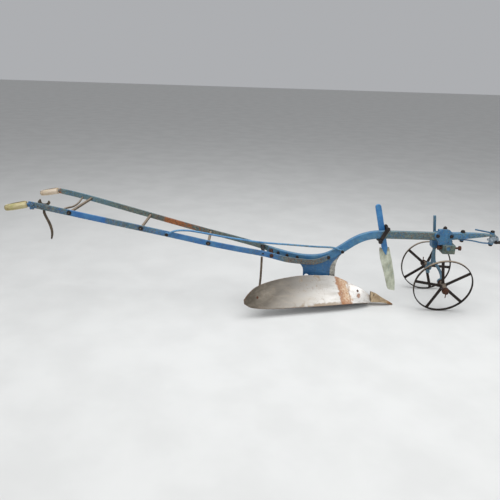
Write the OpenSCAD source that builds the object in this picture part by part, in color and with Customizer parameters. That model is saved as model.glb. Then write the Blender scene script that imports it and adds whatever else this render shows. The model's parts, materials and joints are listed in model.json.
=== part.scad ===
// Two-wheeled steel walking plough: one-furrow body with a long twisted mouldboard,
// knife coulter, leaning furrow wheel, land wheel, swivelling hake and two handles.
// X points forwards, Y to the land (left) side, Z up; the sole stands on z = 0
// and the beam lies in the plane y = 0.

/* [Beam] */
// Height of the middle of the level part of the beam above the ground
beam_z = 529; // [525:1:533]
// Width of the beam across the plough
beam_w = 30; // [28:0.5:31]
// Depth of the level part of the beam
beam_d = 54; // [50:1:56]
// Distance from the sole's datum to the vertical hake pin
hake_x = 1072; // [1065:1:1080]

/* [Handles] */
// Depth of a handle bar
handle_d = 38; // [34:1:42]
// Thickness of a handle bar
handle_t = 11; // [9:0.5:12]
// Diameter of a wooden hand grip at its thickest
grip_d = 47; // [38:1:48]
// Length of a wooden hand grip
grip_l = 140; // [130:1:150]
// Diameter of the round stays between the handles
stay_d = 19; // [15:1:21]
// Diameter of the long brace rod
brace_rod_d = 13; // [10:0.5:13]

/* [Plough body] */
// Thickness of the mouldboard plate
mouldboard_t = 7; // [5:0.5:8]
// Thickness of the share
share_t = 9; // [8:0.5:10]
// Width of the frog's upright web
frog_w = 26; // [22:1:28]
// Thickness of the slade that slides on the furrow bottom
slade_t = 14; // [12:1:16]

/* [Coulter] */
// Backward tilt of the coulter stalk from the vertical
coulter_tilt = 14.2; // [13:0.1:15]
// Width of the coulter stalk along the plough
stalk_w = 40; // [38:1:41]
// Thickness of the coulter stalk across the plough
stalk_t = 18; // [16:0.5:18]
// Thickness of the coulter blade
blade_t = 11; // [9:0.5:12]

/* [Wheels] */
// Diameter of the furrow wheel over its tread
furrow_wheel_d = 410; // [405:1:414]
// Diameter of the land wheel over its tread
land_wheel_d = 380; // [376:1:384]
// Lean of the furrow wheel, top away from the land
furrow_lean = 11; // [10:0.5:12]
// Lean of the land wheel, top towards the land
land_lean = 4; // [3:0.5:5]
// Width of the tyre
rim_w = 18; // [16:1:24]
// Thickness of the tyre
rim_t = 7.5; // [6.5:0.5:9]
// Width of a flat spoke
spoke_w = 20; // [14:1:20]
// Side of the square bar of a wheel standard
standard_s = 17; // [16:0.5:18]
// Diameter of an axle
axle_d = 26; // [22:1:28]

/* [Hidden] */

$fn = 48;

// Clearances: round running fit, flat sliding fit, and bolt in its hole
fit_r = 0.05;
gap = 0.3;
bolt_gap = 0.25;

// Paint and metal colours
blue = [0.20, 0.50, 0.74];
light_blue = [0.42, 0.62, 0.72];
bare = [0.62, 0.62, 0.62];
dark = [0.14, 0.11, 0.10];
rust = [0.36, 0.22, 0.14];
wood = [0.72, 0.66, 0.48];

// ---------------------------------------------------------------- path functions

function last(list) = list[len(list) - 1];
function unit(v) = v / norm(v);

// Slope of a smooth curve at station i, for each unit of distance along it
function slope(s, i) =
    let (a = s[max(i - 1, 0)], b = s[min(i + 1, len(s) - 1)])
    (b - a) / (norm(s[i] - a) + norm(b - s[i]));

// Smooth curve through every station, with steps points from one to the next
function smooth(s, steps) = [
    for (i = [0 : len(s) - 2], k = [0 : steps - 1])
        let (t = k / steps, u = 1 - t, l = norm(s[i + 1] - s[i]))
        s[i] * (1 + 2 * t) * u * u + s[i + 1] * t * t * (3 - 2 * t)
        + (slope(s, i) * u - slope(s, i + 1) * t) * l * t * u,
    last(s)];

function xyz(p) = [p[0], p[1], p[2]];
function direction(path, i) =
    unit(xyz(path[min(i + 1, len(path) - 1)]) - xyz(path[max(i - 1, 0)]));

// Section corners: a rectangle with small chamfers, and a round
function bar_section(w, d, c) = [
    [w / 2 - c, -d / 2], [w / 2, -d / 2 + c], [w / 2, d / 2 - c], [w / 2 - c, d / 2],
    [-w / 2 + c, d / 2], [-w / 2, d / 2 - c], [-w / 2, -d / 2 + c], [-w / 2 + c, -d / 2]];
function round_section(r, n) = [for (k = [0 : n - 1]) r * [cos(360 * k / n), sin(360 * k / n)]];

// Ring of section corners around one point of a path
function ring(p, along, up, section) =
    let (side = unit(cross(up, along)), rise = cross(along, side))
    [for (c = section) xyz(p) + side * c[0] + rise * c[1]];

// Closed solid through a list of rings that all have the same number of corners
module loft(rings) {
    n = len(rings[0]);
    m = len(rings);
    points = [for (r = rings, p = r) p];
    sides = [
        for (i = [0 : m - 2], k = [0 : n - 1])
            each [
                [i * n + k, (i + 1) * n + k, (i + 1) * n + (k + 1) % n],
                [i * n + k, (i + 1) * n + (k + 1) % n, i * n + (k + 1) % n]]];
    ends = [[for (k = [0 : n - 1]) k], [for (k = [n - 1 : -1 : 0]) (m - 1) * n + k]];
    polyhedron(points, concat(sides, ends), convexity = 6);
}

// Bar swept along stations [x, y, z, depth]; the depth stays upright
module swept_bar(path, w, c, up = [0, 0, 1]) {
    loft([for (i = [0 : len(path) - 1])
        ring(path[i], direction(path, i), up, bar_section(w, path[i][3], c))]);
}

// Round rod swept along stations [x, y, z]
module swept_rod(path, d, up = [0, 0, 1], sides = 12) {
    loft([for (i = [0 : len(path) - 1])
        ring(path[i], direction(path, i), up, round_section(d / 2, sides))]);
}

// Curved plate: a grid of points on its face, given thickness t behind the face
function face_normal(g, i, j) =
    let (a = g[min(i + 1, len(g) - 1)][j] - g[max(i - 1, 0)][j],
         b = g[i][min(j + 1, len(g[0]) - 1)] - g[i][max(j - 1, 0)])
    unit(cross(a, b));
module curved_plate(g, t) {
    m = len(g[0]);
    loft([for (i = [0 : len(g) - 1])
        concat(
            [for (j = [0 : m - 1]) g[i][j]],
            [for (j = [m - 1 : -1 : 0]) g[i][j] + t * face_normal(g, i, j)])]);
}

// ---------------------------------------------------------------- small shapes

// Cylinder along +Y from y0 to y1, at x and z
module y_rod(x, z, y0, y1, r) {
    translate([x, y0, z]) rotate([-90, 0, 0]) cylinder(r = r, h = y1 - y0);
}

// Flat plate in the XZ plane from y0 to y1
module xz_plate(y0, y1) {
    translate([0, y1, 0]) rotate([90, 0, 0]) linear_extrude(y1 - y0) children();
}

// Hexagonal nut along +Z with a chamfered crown; r is across the corners
module nut_shape(r, h) {
    intersection() {
        cylinder(r = r, h = h, $fn = 6);
        union() {
            cylinder(r = r, h = h * 0.75);
            translate([0, 0, h * 0.75 - 0.01]) cylinder(r1 = r, r2 = r * 0.8, h = h * 0.25 + 0.01);
        }
    }
}

// Bolt along Y: head outside y0, nut outside y1 with the thread's end showing
module y_bolt(x, z, y0, y1, d) {
    y_rod(x, z, y0 - 0.5, y1 + d * 0.95, d / 2);
    translate([x, y0, z]) rotate([90, 15, 0]) nut_shape(d, d * 0.65);
    translate([x, y1, z]) rotate([-90, 10, 0]) nut_shape(d, d * 0.75);
}

// Bolt along Z: head above z1, nut below z0
module z_bolt(x, y, z0, z1, d) {
    translate([x, y, z0 - d * 0.95]) cylinder(d = d, h = z1 - z0 + d);
    translate([x, y, z1]) nut_shape(d, d * 0.65);
    translate([x, y, z0]) mirror([0, 0, 1]) nut_shape(d, d * 0.75);
}

// ---------------------------------------------------------------- beam

// Middle line of the beam: [x, y, z, depth], from the rear end to the hake eye
beam_line = [
    [-478, 0, beam_z - 131, 44], [-402, 0, beam_z - 154, 44], [-338, 0, beam_z - 170, 45],
    [-268, 0, beam_z - 183, 46], [-190, 0, beam_z - 190, 48], [-120, 0, beam_z - 187, 50],
    [-60, 0, beam_z - 173, 52], [0, 0, beam_z - 143, 54], [60, 0, beam_z - 101, 55],
    [120, 0, beam_z - 58, 55], [180, 0, beam_z - 26, 54], [240, 0, beam_z - 8, beam_d],
    [300, 0, beam_z - 1, beam_d], [420, 0, beam_z, beam_d], [570, 0, beam_z, beam_d],
    [700, 0, beam_z, beam_d], [800, 0, beam_z + 4, beam_d - 4],
    [900, 0, beam_z + 11, 42], [1000, 0, beam_z + 17, 26], [1058, 0, beam_z + 20, 12]];
beam_side = beam_w / 2;
eye_z = beam_z + 20;
eye_t = 12;
pin_d = 16;

// Bolts through the beam: rear end to left handle, frog, and wheel bracket
handle_bolt_at = [[-402, beam_z - 154], [-339, beam_z - 170], [-268, beam_z - 183]];
spacer_bolt_at = [-452, beam_z - 140];
frog_bolt_at = [[-49, beam_z - 173], [44, beam_z - 128]];
bracket_bolt_at = [[689, beam_z + 8], [783, beam_z + 8]];
brace_bolt_x = 868;
brace_bolt_d = 14;
bolt_d = 12;

module bolt_holes(at, y0, y1, d = bolt_d) {
    for (b = at) {
        y_rod(b[0], b[1], y0, y1, d / 2 + bolt_gap);
    }
}

module beam() {
    color(light_blue)
    difference() {
        union() {
            swept_bar(smooth(beam_line, 3), beam_w, 3);
            translate([hake_x, 0, eye_z - eye_t / 2]) cylinder(r = 21, h = eye_t);
        }
        bolt_holes(handle_bolt_at, -50, 50);
        bolt_holes([spacer_bolt_at], -50, 50);
        bolt_holes(frog_bolt_at, -50, 50);
        bolt_holes(bracket_bolt_at, -50, 50);
        translate([brace_bolt_x, 0, 480]) cylinder(r = brace_bolt_d / 2 + bolt_gap, h = 120);
        translate([hake_x, 0, 500]) cylinder(r = pin_d / 2 + fit_r, h = 100);
    }
}

// Lower brace from under the beam to the foot of the hake pin
brace_eye_z = 488;
brace_eye_t = 10;
brace_t = 7;
brace_w = 16;
brace_top_z = beam_z - 17;
brace_mid_z = brace_top_z - brace_t / 2 - gap;
brace_line = [
    [845, 0, brace_mid_z, brace_t], [895, 0, brace_mid_z, brace_t], [955, 0, 501, brace_t],
    [1008, 0, 491, brace_t], [1054, 0, brace_eye_z, brace_t]];

module beam_brace() {
    color(blue)
    difference() {
        union() {
            swept_bar(smooth(brace_line, 4), brace_w, 2);
            // Broad pad round the brace bolt
            translate([brace_bolt_x, 0, brace_mid_z - brace_t / 2]) cylinder(r = 13, h = brace_t);
            translate([hake_x, 0, brace_eye_z - brace_eye_t / 2]) cylinder(r = 18, h = brace_eye_t);
        }
        translate([hake_x, 0, 440]) cylinder(r = pin_d / 2 + fit_r, h = 80);
        translate([brace_bolt_x, 0, 440]) cylinder(r = brace_bolt_d / 2 + bolt_gap, h = 100);
    }
}

module beam_brace_bolt() {
    color(dark)
    z_bolt(brace_bolt_x, 0, brace_top_z - brace_t - 1, beam_z + 38, brace_bolt_d);
    color(dark)
    translate([brace_bolt_x, 0, beam_z + 33]) cylinder(r = 16, h = 5.2);
}

// ---------------------------------------------------------------- handles

// Right handle from the grip forwards, down the near side of the beam to the frog
right_line = [
    [-2008, -289, 746.5, 36], [-1950, -282.5, 734, handle_d], [-1900, -277, 722, handle_d],
    [-1144, -194, 545, handle_d], [-879, -165, 481, handle_d], [-700, -144, 442, handle_d],
    [-518, -121, 405, handle_d], [-451, -108, 386, handle_d], [-357, -84, 355, handle_d],
    [-290, -62, 338, handle_d], [-240, -44, 328, handle_d], [-190, -35, 321, handle_d],
    [-150, -30.5, 321, handle_d], [-110, -25, 329, handle_d], [-72, -21.5, 344, 38],
    [-38, -21.5, 361, 30]];
// Left handle from the grip forwards to the land side of the beam's rear end
left_line = [
    [-1984, 222, 713.5, 36], [-1900, 211.5, 700, handle_d], [-1753, 194, 672, handle_d],
    [-1323, 143, 576, handle_d], [-961, 99, 496, handle_d], [-720, 70, 447, handle_d],
    [-580, 46, 419, handle_d], [-510, 30, 404, handle_d], [-470, 22.5, 394, handle_d],
    [-402, 21.5, 375, handle_d], [-338, 21.5, 359, handle_d], [-268, 21.5, 346, handle_d],
    [-236, 21.5, 342, handle_d]];

// Places on the straight lengths of the handles, worked out from the lines above
function on_line(a, b, x) = a + (b - a) * (x - a[0]) / (b[0] - a[0]);
function right_at(x) =
    x < -1144 ? on_line(right_line[2], right_line[3], x)
    : x < -879 ? on_line(right_line[3], right_line[4], x)
    : on_line(right_line[4], right_line[6], x);
function left_at(x) =
    x < -1323 ? on_line(left_line[2], left_line[3], x)
    : x < -961 ? on_line(left_line[3], left_line[4], x)
    : on_line(left_line[4], left_line[5], x);
right_plan = atan2(-277 + 194, -1900 + 1144) - 180;

// Grips: axis direction falls a little to the rear
right_grip_from = [-2014, -289.5, 745];
right_grip_dir = unit([-154, -18, -29]);
left_grip_from = [-1992, 224, 713];
left_grip_dir = unit([-138, 16, -28]);
tang_d = 14;

module along(from, dir) {
    translate(from)
    rotate([0, acos(dir[2]), atan2(dir[1], dir[0])])
    children();
}

module grip_shape() {
    // Turned handle: full in front, slimmer and rounded at the rear, bored for the tang
    r = grip_d / 2;
    difference() {
        rotate_extrude()
        polygon([
            [0, 0], [r * 0.86, 0], [r * 0.95, 2], [r * 0.99, 12], [r, 30], [r * 0.985, 60],
            [r * 0.955, 88], [r * 0.91, 112], [r * 0.86, 126], [r * 0.77, 134], [r * 0.6, 138.5],
            [r * 0.42, grip_l], [0, grip_l]]);
        translate([0, 0, -1]) cylinder(d = tang_d, h = grip_l * 0.75 + 1);
    }
}

// Stays: where each one meets the right handle and the left handle
stay_x = [[-1761, -1748], [-1317, -1317], [-880, -883]];
tenon_d = 10;
grip_bolt_x = -1983;

function xyz_gap(x) = left_at(x[1]) - right_at(x[0]);
module at_stay(x) {
    d = xyz_gap(x);
    translate(xyz(right_at(x[0])))
        rotate([0, acos(d[2] / norm(xyz(d))), atan2(d[1], d[0])])
        children();
}
function stay_length(x) = norm(xyz(xyz_gap(x)));

module stay_holes() {
    for (x = stay_x) {
        at_stay(x) translate([0, 0, -50])
            cylinder(r = tenon_d / 2 + bolt_gap, h = stay_length(x) + 100);
    }
}

module right_handle() {
    color(light_blue)
    difference() {
        union() {
            swept_bar(smooth(right_line, 3), handle_t, 1.5);
            along(right_grip_from - 20 * right_grip_dir, right_grip_dir)
                cylinder(d = tang_d, h = grip_l * 0.75 + 20);
        }
        stay_holes();
        bow_holes();
        bolt_holes([spacer_bolt_at], -160, -60);
        bolt_holes([frog_bolt_at[0]], -40, 0);
        y_rod(brace_rod_x, right_at(brace_rod_x)[2], -300, 0, bolt_d / 2 + bolt_gap);
        y_rod(grip_bolt_x, 741, -330, -240, 4.25);
        spacer_block_hole();
    }
}

module left_handle() {
    color(light_blue)
    difference() {
        union() {
            swept_bar(smooth(left_line, 3), handle_t, 1.5);
            along(left_grip_from - 16 * left_grip_dir, left_grip_dir)
                cylinder(d = tang_d, h = grip_l * 0.75 + 16);
        }
        stay_holes();
        bow_holes();
        bolt_holes(handle_bolt_at, 0, 60);
        bolt_holes([spacer_bolt_at], 0, 60);
        spacer_block_hole();
    }
}

module right_grip() {
    color(wood) along(right_grip_from, right_grip_dir) grip_shape();
}

module left_grip() {
    color(wood) along(left_grip_from, left_grip_dir) grip_shape();
}

// Round bars with shoulders inside the handles and threaded tenons through them
seat = handle_t / 2 + 2.4;

module handle_stays() {
    color(rust)
    for (x = stay_x) {
        at_stay(x) {
            translate([0, 0, seat]) cylinder(r = stay_d / 2, h = stay_length(x) - 2 * seat);
            translate([0, 0, -seat - 13])
                cylinder(r = tenon_d / 2, h = stay_length(x) + 2 * seat + 26);
        }
    }
}

// Nuts on the stays' tenons, outside both handles
module stay_nuts() {
    color(dark)
    for (x = stay_x) {
        at_stay(x)
        difference() {
            union() {
                translate([0, 0, -seat - 2]) cylinder(r = 15, h = 2);
                translate([0, 0, -seat - 2]) mirror([0, 0, 1]) nut_shape(13, 9);
                translate([0, 0, stay_length(x) + seat]) cylinder(r = 15, h = 2);
                translate([0, 0, stay_length(x) + seat + 2]) nut_shape(13, 9);
            }
            translate([0, 0, -50]) cylinder(r = tenon_d / 2, h = stay_length(x) + 100);
        }
        // Collars on the bars, against the inner faces
        at_stay(x)
        for (z = [seat + 0.3, stay_length(x) - seat - 9.3]) {
            difference() {
                translate([0, 0, z]) cylinder(r = 14, h = 9);
                translate([0, 0, z - 1]) cylinder(r = stay_d / 2 + 0.2, h = 11);
            }
        }
    }
}

// Bowed second stay behind the rearmost one
bow_near = [-1812, right_at(-1812)[1] + seat + 0.6, 702];
bow_far = [-1812, left_at(-1812)[1] - seat, 676];
bow_line = [
    bow_near, [-1806, -245, 706], [-1788, -215, 708], [-1774, -160, 701], [-1774, -90, 694],
    [-1780, -10, 688], [-1793, 80, 682], [-1806, 150, 677], [-1811, 182, 676], bow_far];
bow_rivet_d = 8;

module bow_holes() {
    y_rod(bow_near[0], bow_near[2], -400, -200, bow_rivet_d / 2 + bolt_gap);
    y_rod(bow_far[0], bow_far[2], 100, 400, bow_rivet_d / 2 + bolt_gap);
}

module handle_bow_stay() {
    color(rust) {
        swept_rod(smooth(bow_line, 3), 12);
        y_rod(bow_near[0], bow_near[2], bow_near[1] - 2 * seat - 2, bow_near[1] + 1, bow_rivet_d / 2);
        y_rod(bow_far[0], bow_far[2], bow_far[1] - 1, bow_far[1] + 2 * seat + 5, bow_rivet_d / 2);
        y_rod(bow_near[0], bow_near[2], bow_near[1] - 2 * seat - 2, bow_near[1] - 2 * seat, 7);
        y_rod(bow_far[0], bow_far[2], bow_far[1] + 2 * seat, bow_far[1] + 2 * seat + 5, 8);
    }
}

// Bolt behind the right grip with a square lug that hangs below the bar
module handle_end_bolts() {
    color(dark) {
        y = right_at(grip_bolt_x)[1] - handle_t / 2 - 3;
        y_rod(grip_bolt_x, 741, y - 6, y + handle_t + 13, 4);
        translate([grip_bolt_x, y, 741]) rotate([90, 0, 0]) nut_shape(11, 8);
        translate([grip_bolt_x, y + handle_t + 5, 741]) rotate([-90, 0, 0]) nut_shape(9, 7);
        translate([grip_bolt_x - 14, y - 6, 714]) cube([28, 6, 21]);
    }
}

// Stout cast spacer between the handles just behind the beam
spacer_x = -511;
spacer_z = 404;

module spacer_block_hole() {
    y_rod(spacer_x, spacer_z, -200, 100, 6.25);
}

module handle_spacer() {
    color(dark) {
        y0 = right_at(spacer_x)[1] + handle_t / 2 + 2.8;
        y1 = 30 - handle_t / 2 - 3.6;
        translate([spacer_x - 14, y0, spacer_z - 16]) cube([28, 10, 32]);
        translate([spacer_x - 14, y1 - 10, spacer_z - 16]) cube([28, 10, 32]);
        y_rod(spacer_x, spacer_z, y0, y1, 12);
        y_rod(spacer_x, spacer_z, y0 - 17, y1 + 30, 6);
        translate([spacer_x, y1 + 17.5, spacer_z]) rotate([-90, 0, 0]) nut_shape(12, 10);
    }
}

// Long bolt with a spacer tube between the right handle and the beam's rear end
module spacer_bolt() {
    color(rust) {
        x = spacer_bolt_at[0];
        z = spacer_bolt_at[1];
        y_rod(x, z, -128, 44, bolt_d / 2);
        y_rod(x, z, -97.5, -beam_side - 0.2, 10);
        translate([x, -117, z]) rotate([90, 20, 0]) nut_shape(14, 9);
        translate([x, 29, z]) rotate([-90, 0, 0]) nut_shape(13, 10);
        translate([x - 13, -beam_side - 12, z - 13]) cube([26, 11.5, 26]);
    }
}

// Long rod from the right handle, over the gap, to the near side of the beam
brace_rod_x = -1150;
rod_eye_t = 13.2;
brace_rod_line = [
    [brace_rod_x, -208.3, 546], [-1138, -208.3, 551], [-1118, -207, 563], [-1092, -202, 571],
    [-1062, -196, 573.5], [-1030, -188, 571.5], [-995, -178, 567], [-905, -157, 547],
    [-800, -138, 523], [-680, -118, 500], [-520, -92, 473], [-324, -62, 453], [-160, -38, 437],
    [-60, -25, 431], [-12, -22.2, 426], [22, -21.9, 413], [44, -21.9, 401]];

module brace_rod() {
    color(blue)
    difference() {
        union() {
            swept_rod(smooth(brace_rod_line, 3), brace_rod_d);
            y_rod(brace_rod_x, right_at(brace_rod_x)[2], -214.7, -202, 13);
            y_rod(frog_bolt_at[1][0], frog_bolt_at[1][1], -beam_side - rod_eye_t, -beam_side - 0.2, 14);
        }
        y_rod(brace_rod_x, right_at(brace_rod_x)[2], -220, -190, 6.25);
        bolt_holes([frog_bolt_at[1]], -40, -10);
    }
}

module handle_bolts() {
    color(dark) {
        for (b = handle_bolt_at) {
            y_bolt(b[0], b[1], -beam_side - 0.2, 27.4, bolt_d);
        }
        y = right_at(brace_rod_x)[1];
        z = right_at(brace_rod_x)[2];
        y_bolt(brace_rod_x, z, -215.1, y + 8, bolt_d);
    }
}

// Frame of the spanner: on the inner face of the right handle, level with its top edge
spanner_x = -1918;
spanner_t = 9;
neck_w = 15;

module at_spanner() {
    translate([spanner_x, right_at(spanner_x)[1], right_at(spanner_x)[2]])
    rotate([0, 0, right_plan])
    children();
}

module spanner_clip() {
    color(blue) at_spanner() {
        y0 = handle_t / 2 + 0.3;
        inner = spanner_t + 2 * gap;
        for (side = [-1, 1]) {
            translate([side * (neck_w / 2 + gap + 6) - 6, y0, -20]) cube([12, inner, 26]);
        }
        translate([-neck_w / 2 - gap - 12, y0 + inner, -20]) cube([neck_w + 2 * gap + 24, 4, 26]);
        // Backing plate on the outer face of the handle
        translate([-27, -handle_t / 2 - 3.3, -2]) rotate([0, 13, 0]) cube([70, 3, 20]);
    }
}

spanner_tail = [
    [-1, -37, neck_w], [4, -54, 15], [13, -78, 15], [24, -104, 15.5], [32, -130, 15.5],
    [37, -158, 14.5], [37, -183, 13], [33.5, -202, 11], [30, -216, 8]];

// Flat tapering strip along stations [x, z, width]
module strip(path) {
    n = len(path);
    function across(i) =
        let (d = unit([path[min(i + 1, n - 1)][0] - path[max(i - 1, 0)][0],
                       path[min(i + 1, n - 1)][1] - path[max(i - 1, 0)][1]]))
        [-d[1], d[0]];
    polygon(concat(
        [for (i = [0 : n - 1]) [path[i][0], path[i][1]] - across(i) * path[i][2] / 2],
        [for (i = [n - 1 : -1 : 0]) [path[i][0], path[i][1]] + across(i) * path[i][2] / 2]));
}

module spanner() {
    color(blue) at_spanner() {
        y0 = handle_t / 2 + 0.3 + gap;
        xz_plate(y0, y0 + spanner_t) {
            polygon([
                [-neck_w / 2, -40], [neck_w / 2, -40], [neck_w / 2, 7], [24, 8], [37, 13],
                [43, 22], [42, 31], [36, 39], [31, 38], [28, 30], [22, 23], [13, 20], [1, 20],
                [-8, 24], [-12, 32], [-13, 42], [-16, 49], [-20, 49], [-26, 43], [-32, 33],
                [-34, 23], [-28, 13], [-18, 8], [-neck_w / 2, 7]]);
            strip(smooth(spanner_tail, 4));
        }
    }
}

// ---------------------------------------------------------------- plough body

frog_side = frog_w / 2;
cheek_t = 12;

// Underside of the beam as an XZ outline from front to rear, used to seat the frog
function under_point(line, i) =
    let (d = direction(line, i))
    [line[i][0], line[i][2]] + (line[i][3] / 2 + gap) * [d[2], -d[0]];
function beam_under(line, x0, x1) = [
    for (i = [len(line) - 1 : -1 : 0])
        let (p = under_point(line, i))
        if (p[0] > x0 && p[0] < x1) p];

// Leading edge of the frog, shared with the shin
frog_front = [[-32, 190], [-32, 240], [-30, 281], [-14, 318], [8, 344], [28, 366]];
frog_rear = [[-256, 303], [-238, 292], [-226, 272], [-219, 245], [-218, 200]];

module frog() {
    color(blue)
    difference() {
        union() {
            xz_plate(-frog_side, frog_side)
                polygon(concat(
                    frog_rear,
                    [[-222, 150], [-236, 100], [-262, 60], [-270, slade_t + 0.2]],
                    [[262, slade_t + 0.2], [262, 45], [180, 102], [100, 150], [10, 178]],
                    smooth(frog_front, 3),
                    beam_under(smooth(beam_line, 3), -262, 30)));
            // Cheek that rises beside the beam on the land side
            xz_plate(beam_side + 0.2, beam_side + cheek_t)
                polygon([
                    [-225, 300], [-196, 345], [-150, 352], [-80, 358], [-20, 392], [30, 424],
                    [70, 428], [62, 396], [28, 366], [-14, 318], [-30, 281], [-218, 245]]);
            translate([-216, 0, 246]) cube([184, beam_side + cheek_t, 40]);
            // Lugs that stand square to the back of the mouldboard and share
            for (b = lug_bolts) {
                along(b[0], b[1]) translate([0, 0, b[2]]) cylinder(r = 15, h = b[3] - b[2]);
            }
        }
        bolt_holes(frog_bolt_at, -50, 50);
        // Round opening through the web, just above the board
        y_rod(-195, 206, -frog_side - 1, frog_side + 1, 17);
        for (b = lug_bolts) {
            along(b[0], b[1]) cylinder(r = board_bolt_d / 2 + bolt_gap, h = 48);
        }
    }
}

module frog_bolts() {
    color(dark) {
        y_bolt(frog_bolt_at[0][0], frog_bolt_at[0][1], -27.4, 27.2, bolt_d);
        y_bolt(frog_bolt_at[1][0], frog_bolt_at[1][1], -beam_side - rod_eye_t - 0.6, 27.2, bolt_d);
    }
}

shin_front = [[8, 190], [6, 240], [6, 282], [15, 330], [30, 362], [44, 382]];

module shin() {
    color(bare)
    xz_plate(-frog_side + 1, frog_side - 1)
        polygon(concat(
            [for (p = smooth(frog_front, 3)) p + [0.3, 0]],
            [for (k = [len(smooth(shin_front, 3)) - 1 : -1 : 0]) smooth(shin_front, 3)[k]]));
}

landside_y = 26;

module landside() {
    color(bare)
    xz_plate(landside_y, landside_y + 10)
        polygon([
            [-300, slade_t + 0.2], [-300, 96], [-60, 112], [60, 150], [110, 150],
            [262, 66], [262, slade_t + 0.2]]);
}

module slade() {
    color(rust) {
        translate([-330, -8, 0]) cube([592, landside_y + 18, slade_t]);
    }
}

// ---------------------------------------------------------------- mouldboard and share

// Upper and lower edges of the mouldboard, from the share joint to the tail
board_top = [
    [96, -18, 177], [6, -30, 218], [-80, -40, 226], [-166, -54, 230], [-280, -86, 231],
    [-432, -155, 222], [-545, -240, 208], [-600, -310, 183], [-627, -342, 152]];
board_bottom = [
    [122, -120, 50], [30, -150, 53], [-60, -174, 54], [-150, -198, 56], [-270, -228, 58],
    [-400, -262, 61], [-505, -288, 68], [-580, -312, 84], [-625, -340, 122]];
board_hollow = [10, 14, 18, 22, 24, 22, 14, 6, 1];

// Face of the board: straight between the edges, hollowed towards the land
function board_grid(top, bottom, hollow, steps, rows) = [
    for (s = smooth([for (i = [0 : len(top) - 1])
            [top[i][0], top[i][1], top[i][2], bottom[i][0], bottom[i][1], bottom[i][2],
             hollow[i]]], steps))
        let (a = [s[3], s[4], s[5]], b = [s[0], s[1], s[2]])
        [for (j = [0 : rows])
            let (v = j / rows)
            a + (b - a) * v + [0, s[6] * 4 * v * (1 - v), 0]]];

module mouldboard() {
    color(bare)
    difference() {
        curved_plate(board_grid(board_top, board_bottom, board_hollow, 4, 10), mouldboard_t);
        for (b = board_bolts) {
            plate_bolt_hole(b);
        }
    }
}

// Flush bolts square to the face: [point on the face, direction, start of its lug, end]
board_bolt_d = 9.5;
stay_bolt = [[-540, -261, 138], [-0.56, 0.747, -0.358]];
lug_bolts = [
    [[-150, -96.6, 150], [-0.168, 0.765, -0.622], mouldboard_t + 0.8, 112],
    [[60, -74, 120], [-0.293, 0.73, -0.618], mouldboard_t + 0.8, 83],
    [[176, -30.7, 111.2], [-0.361, 0.721, -0.592], share_t + 0.8, 36]];
board_bolts = [stay_bolt, lug_bolts[0], lug_bolts[1]];

module plate_bolt_hole(b) {
    along(b[0], b[1]) {
        translate([0, 0, -8]) cylinder(r = board_bolt_d / 2 + bolt_gap, h = 40);
        translate([0, 0, -8]) cylinder(r = 9.3, h = 11);
    }
}

module plate_bolt(b, l) {
    along(b[0], b[1]) {
        cylinder(d = board_bolt_d, h = l);
        translate([0, 0, -0.7]) cylinder(r = 9, h = 3.4);
    }
}

module mouldboard_bolts() {
    color(rust) {
        plate_bolt(stay_bolt, mouldboard_t + 10);
        for (b = lug_bolts) {
            plate_bolt(b, 46);
        }
    }
}

share_top = [
    [272, -1.5, 70], [214, -8, 116], [165, -14, 142], [134, -16.5, 157], [96.5, -18.5, 175]];
share_bottom = [
    [268, -50, 31], [225, -76, 40], [188, -94, 46], [158, -106, 49], [122.5, -120, 50]];
share_hollow = [2, 6, 8, 9, 10];

module share() {
    color(bare)
    difference() {
        curved_plate(board_grid(share_top, share_bottom, share_hollow, 4, 10), share_t);
        plate_bolt_hole(lug_bolts[2]);
    }
}

module share_point() {
    color(rust)
    difference() {
        union() {
            loft([
                [[276, -40, 30], [276, 16, 26], [276, 16, 92], [276, -12, 103]],
                [[314, -36, 29], [314, 15, 23], [314, 15, 79], [314, -10, 88]],
                [[350, -31, 27], [350, 14, 18], [350, 14, 57], [350, -8, 63]],
                [[385, -25, 20], [385, 12, 11], [385, 12, 36], [385, -7, 42]],
                [[415, -17, 7], [415, 11, 3], [415, 11, 20], [415, -6, 26]],
                [[442, -9, 0], [442, 9, 0], [442, 9, 5], [442, -5, 8]]]);
            // Shank that fits against the nose of the frog
            translate([262.3, -8, 30]) cube([30, 22, 18]);
        }
        y_rod(298, 77, -40, 0, 6);
    }
}

// Bare rod from the right handle down to the back of the mouldboard
module mouldboard_stay() {
    color(rust)
    difference() {
        union() {
            swept_rod(smooth([
                [-518, -121, 380], [-519, -124, 300], [-522, -132, 220], [-528, -160, 168],
                [-535, -205, 148], [-544, -240, 141], [-548, -253, 139]], 3), 15,
                up = [1, 0, 0]);
            along(stay_bolt[0], stay_bolt[1])
                translate([0, 0, mouldboard_t + 0.8]) cylinder(r = 14, h = 8);
        }
        plate_bolt_hole(stay_bolt);
        along(stay_bolt[0], stay_bolt[1]) cylinder(r = 30, h = mouldboard_t + 0.8);
    }
}

// ---------------------------------------------------------------- coulter

coulter_x = 319;
stalk_y = beam_side + gap;
stalk_top = 214;

module coulter_frame() {
    translate([coulter_x, 0, beam_z]) rotate([0, -coulter_tilt, 0]) children();
}

module coulter_stalk() {
    color(blue)
    coulter_frame()
    xz_plate(stalk_y, stalk_y + stalk_t) {
        translate([-stalk_w / 2, -110]) square([stalk_w, stalk_top - stalk_w / 2 + 110]);
        translate([0, stalk_top - stalk_w / 2]) circle(d = stalk_w);
        polygon([
            [-stalk_w / 2, -109], [-stalk_w / 2, -110], [0, -161], [3, -164], [5, -160],
            [stalk_w / 2, -110], [stalk_w / 2, -109]]);
    }
}

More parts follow.
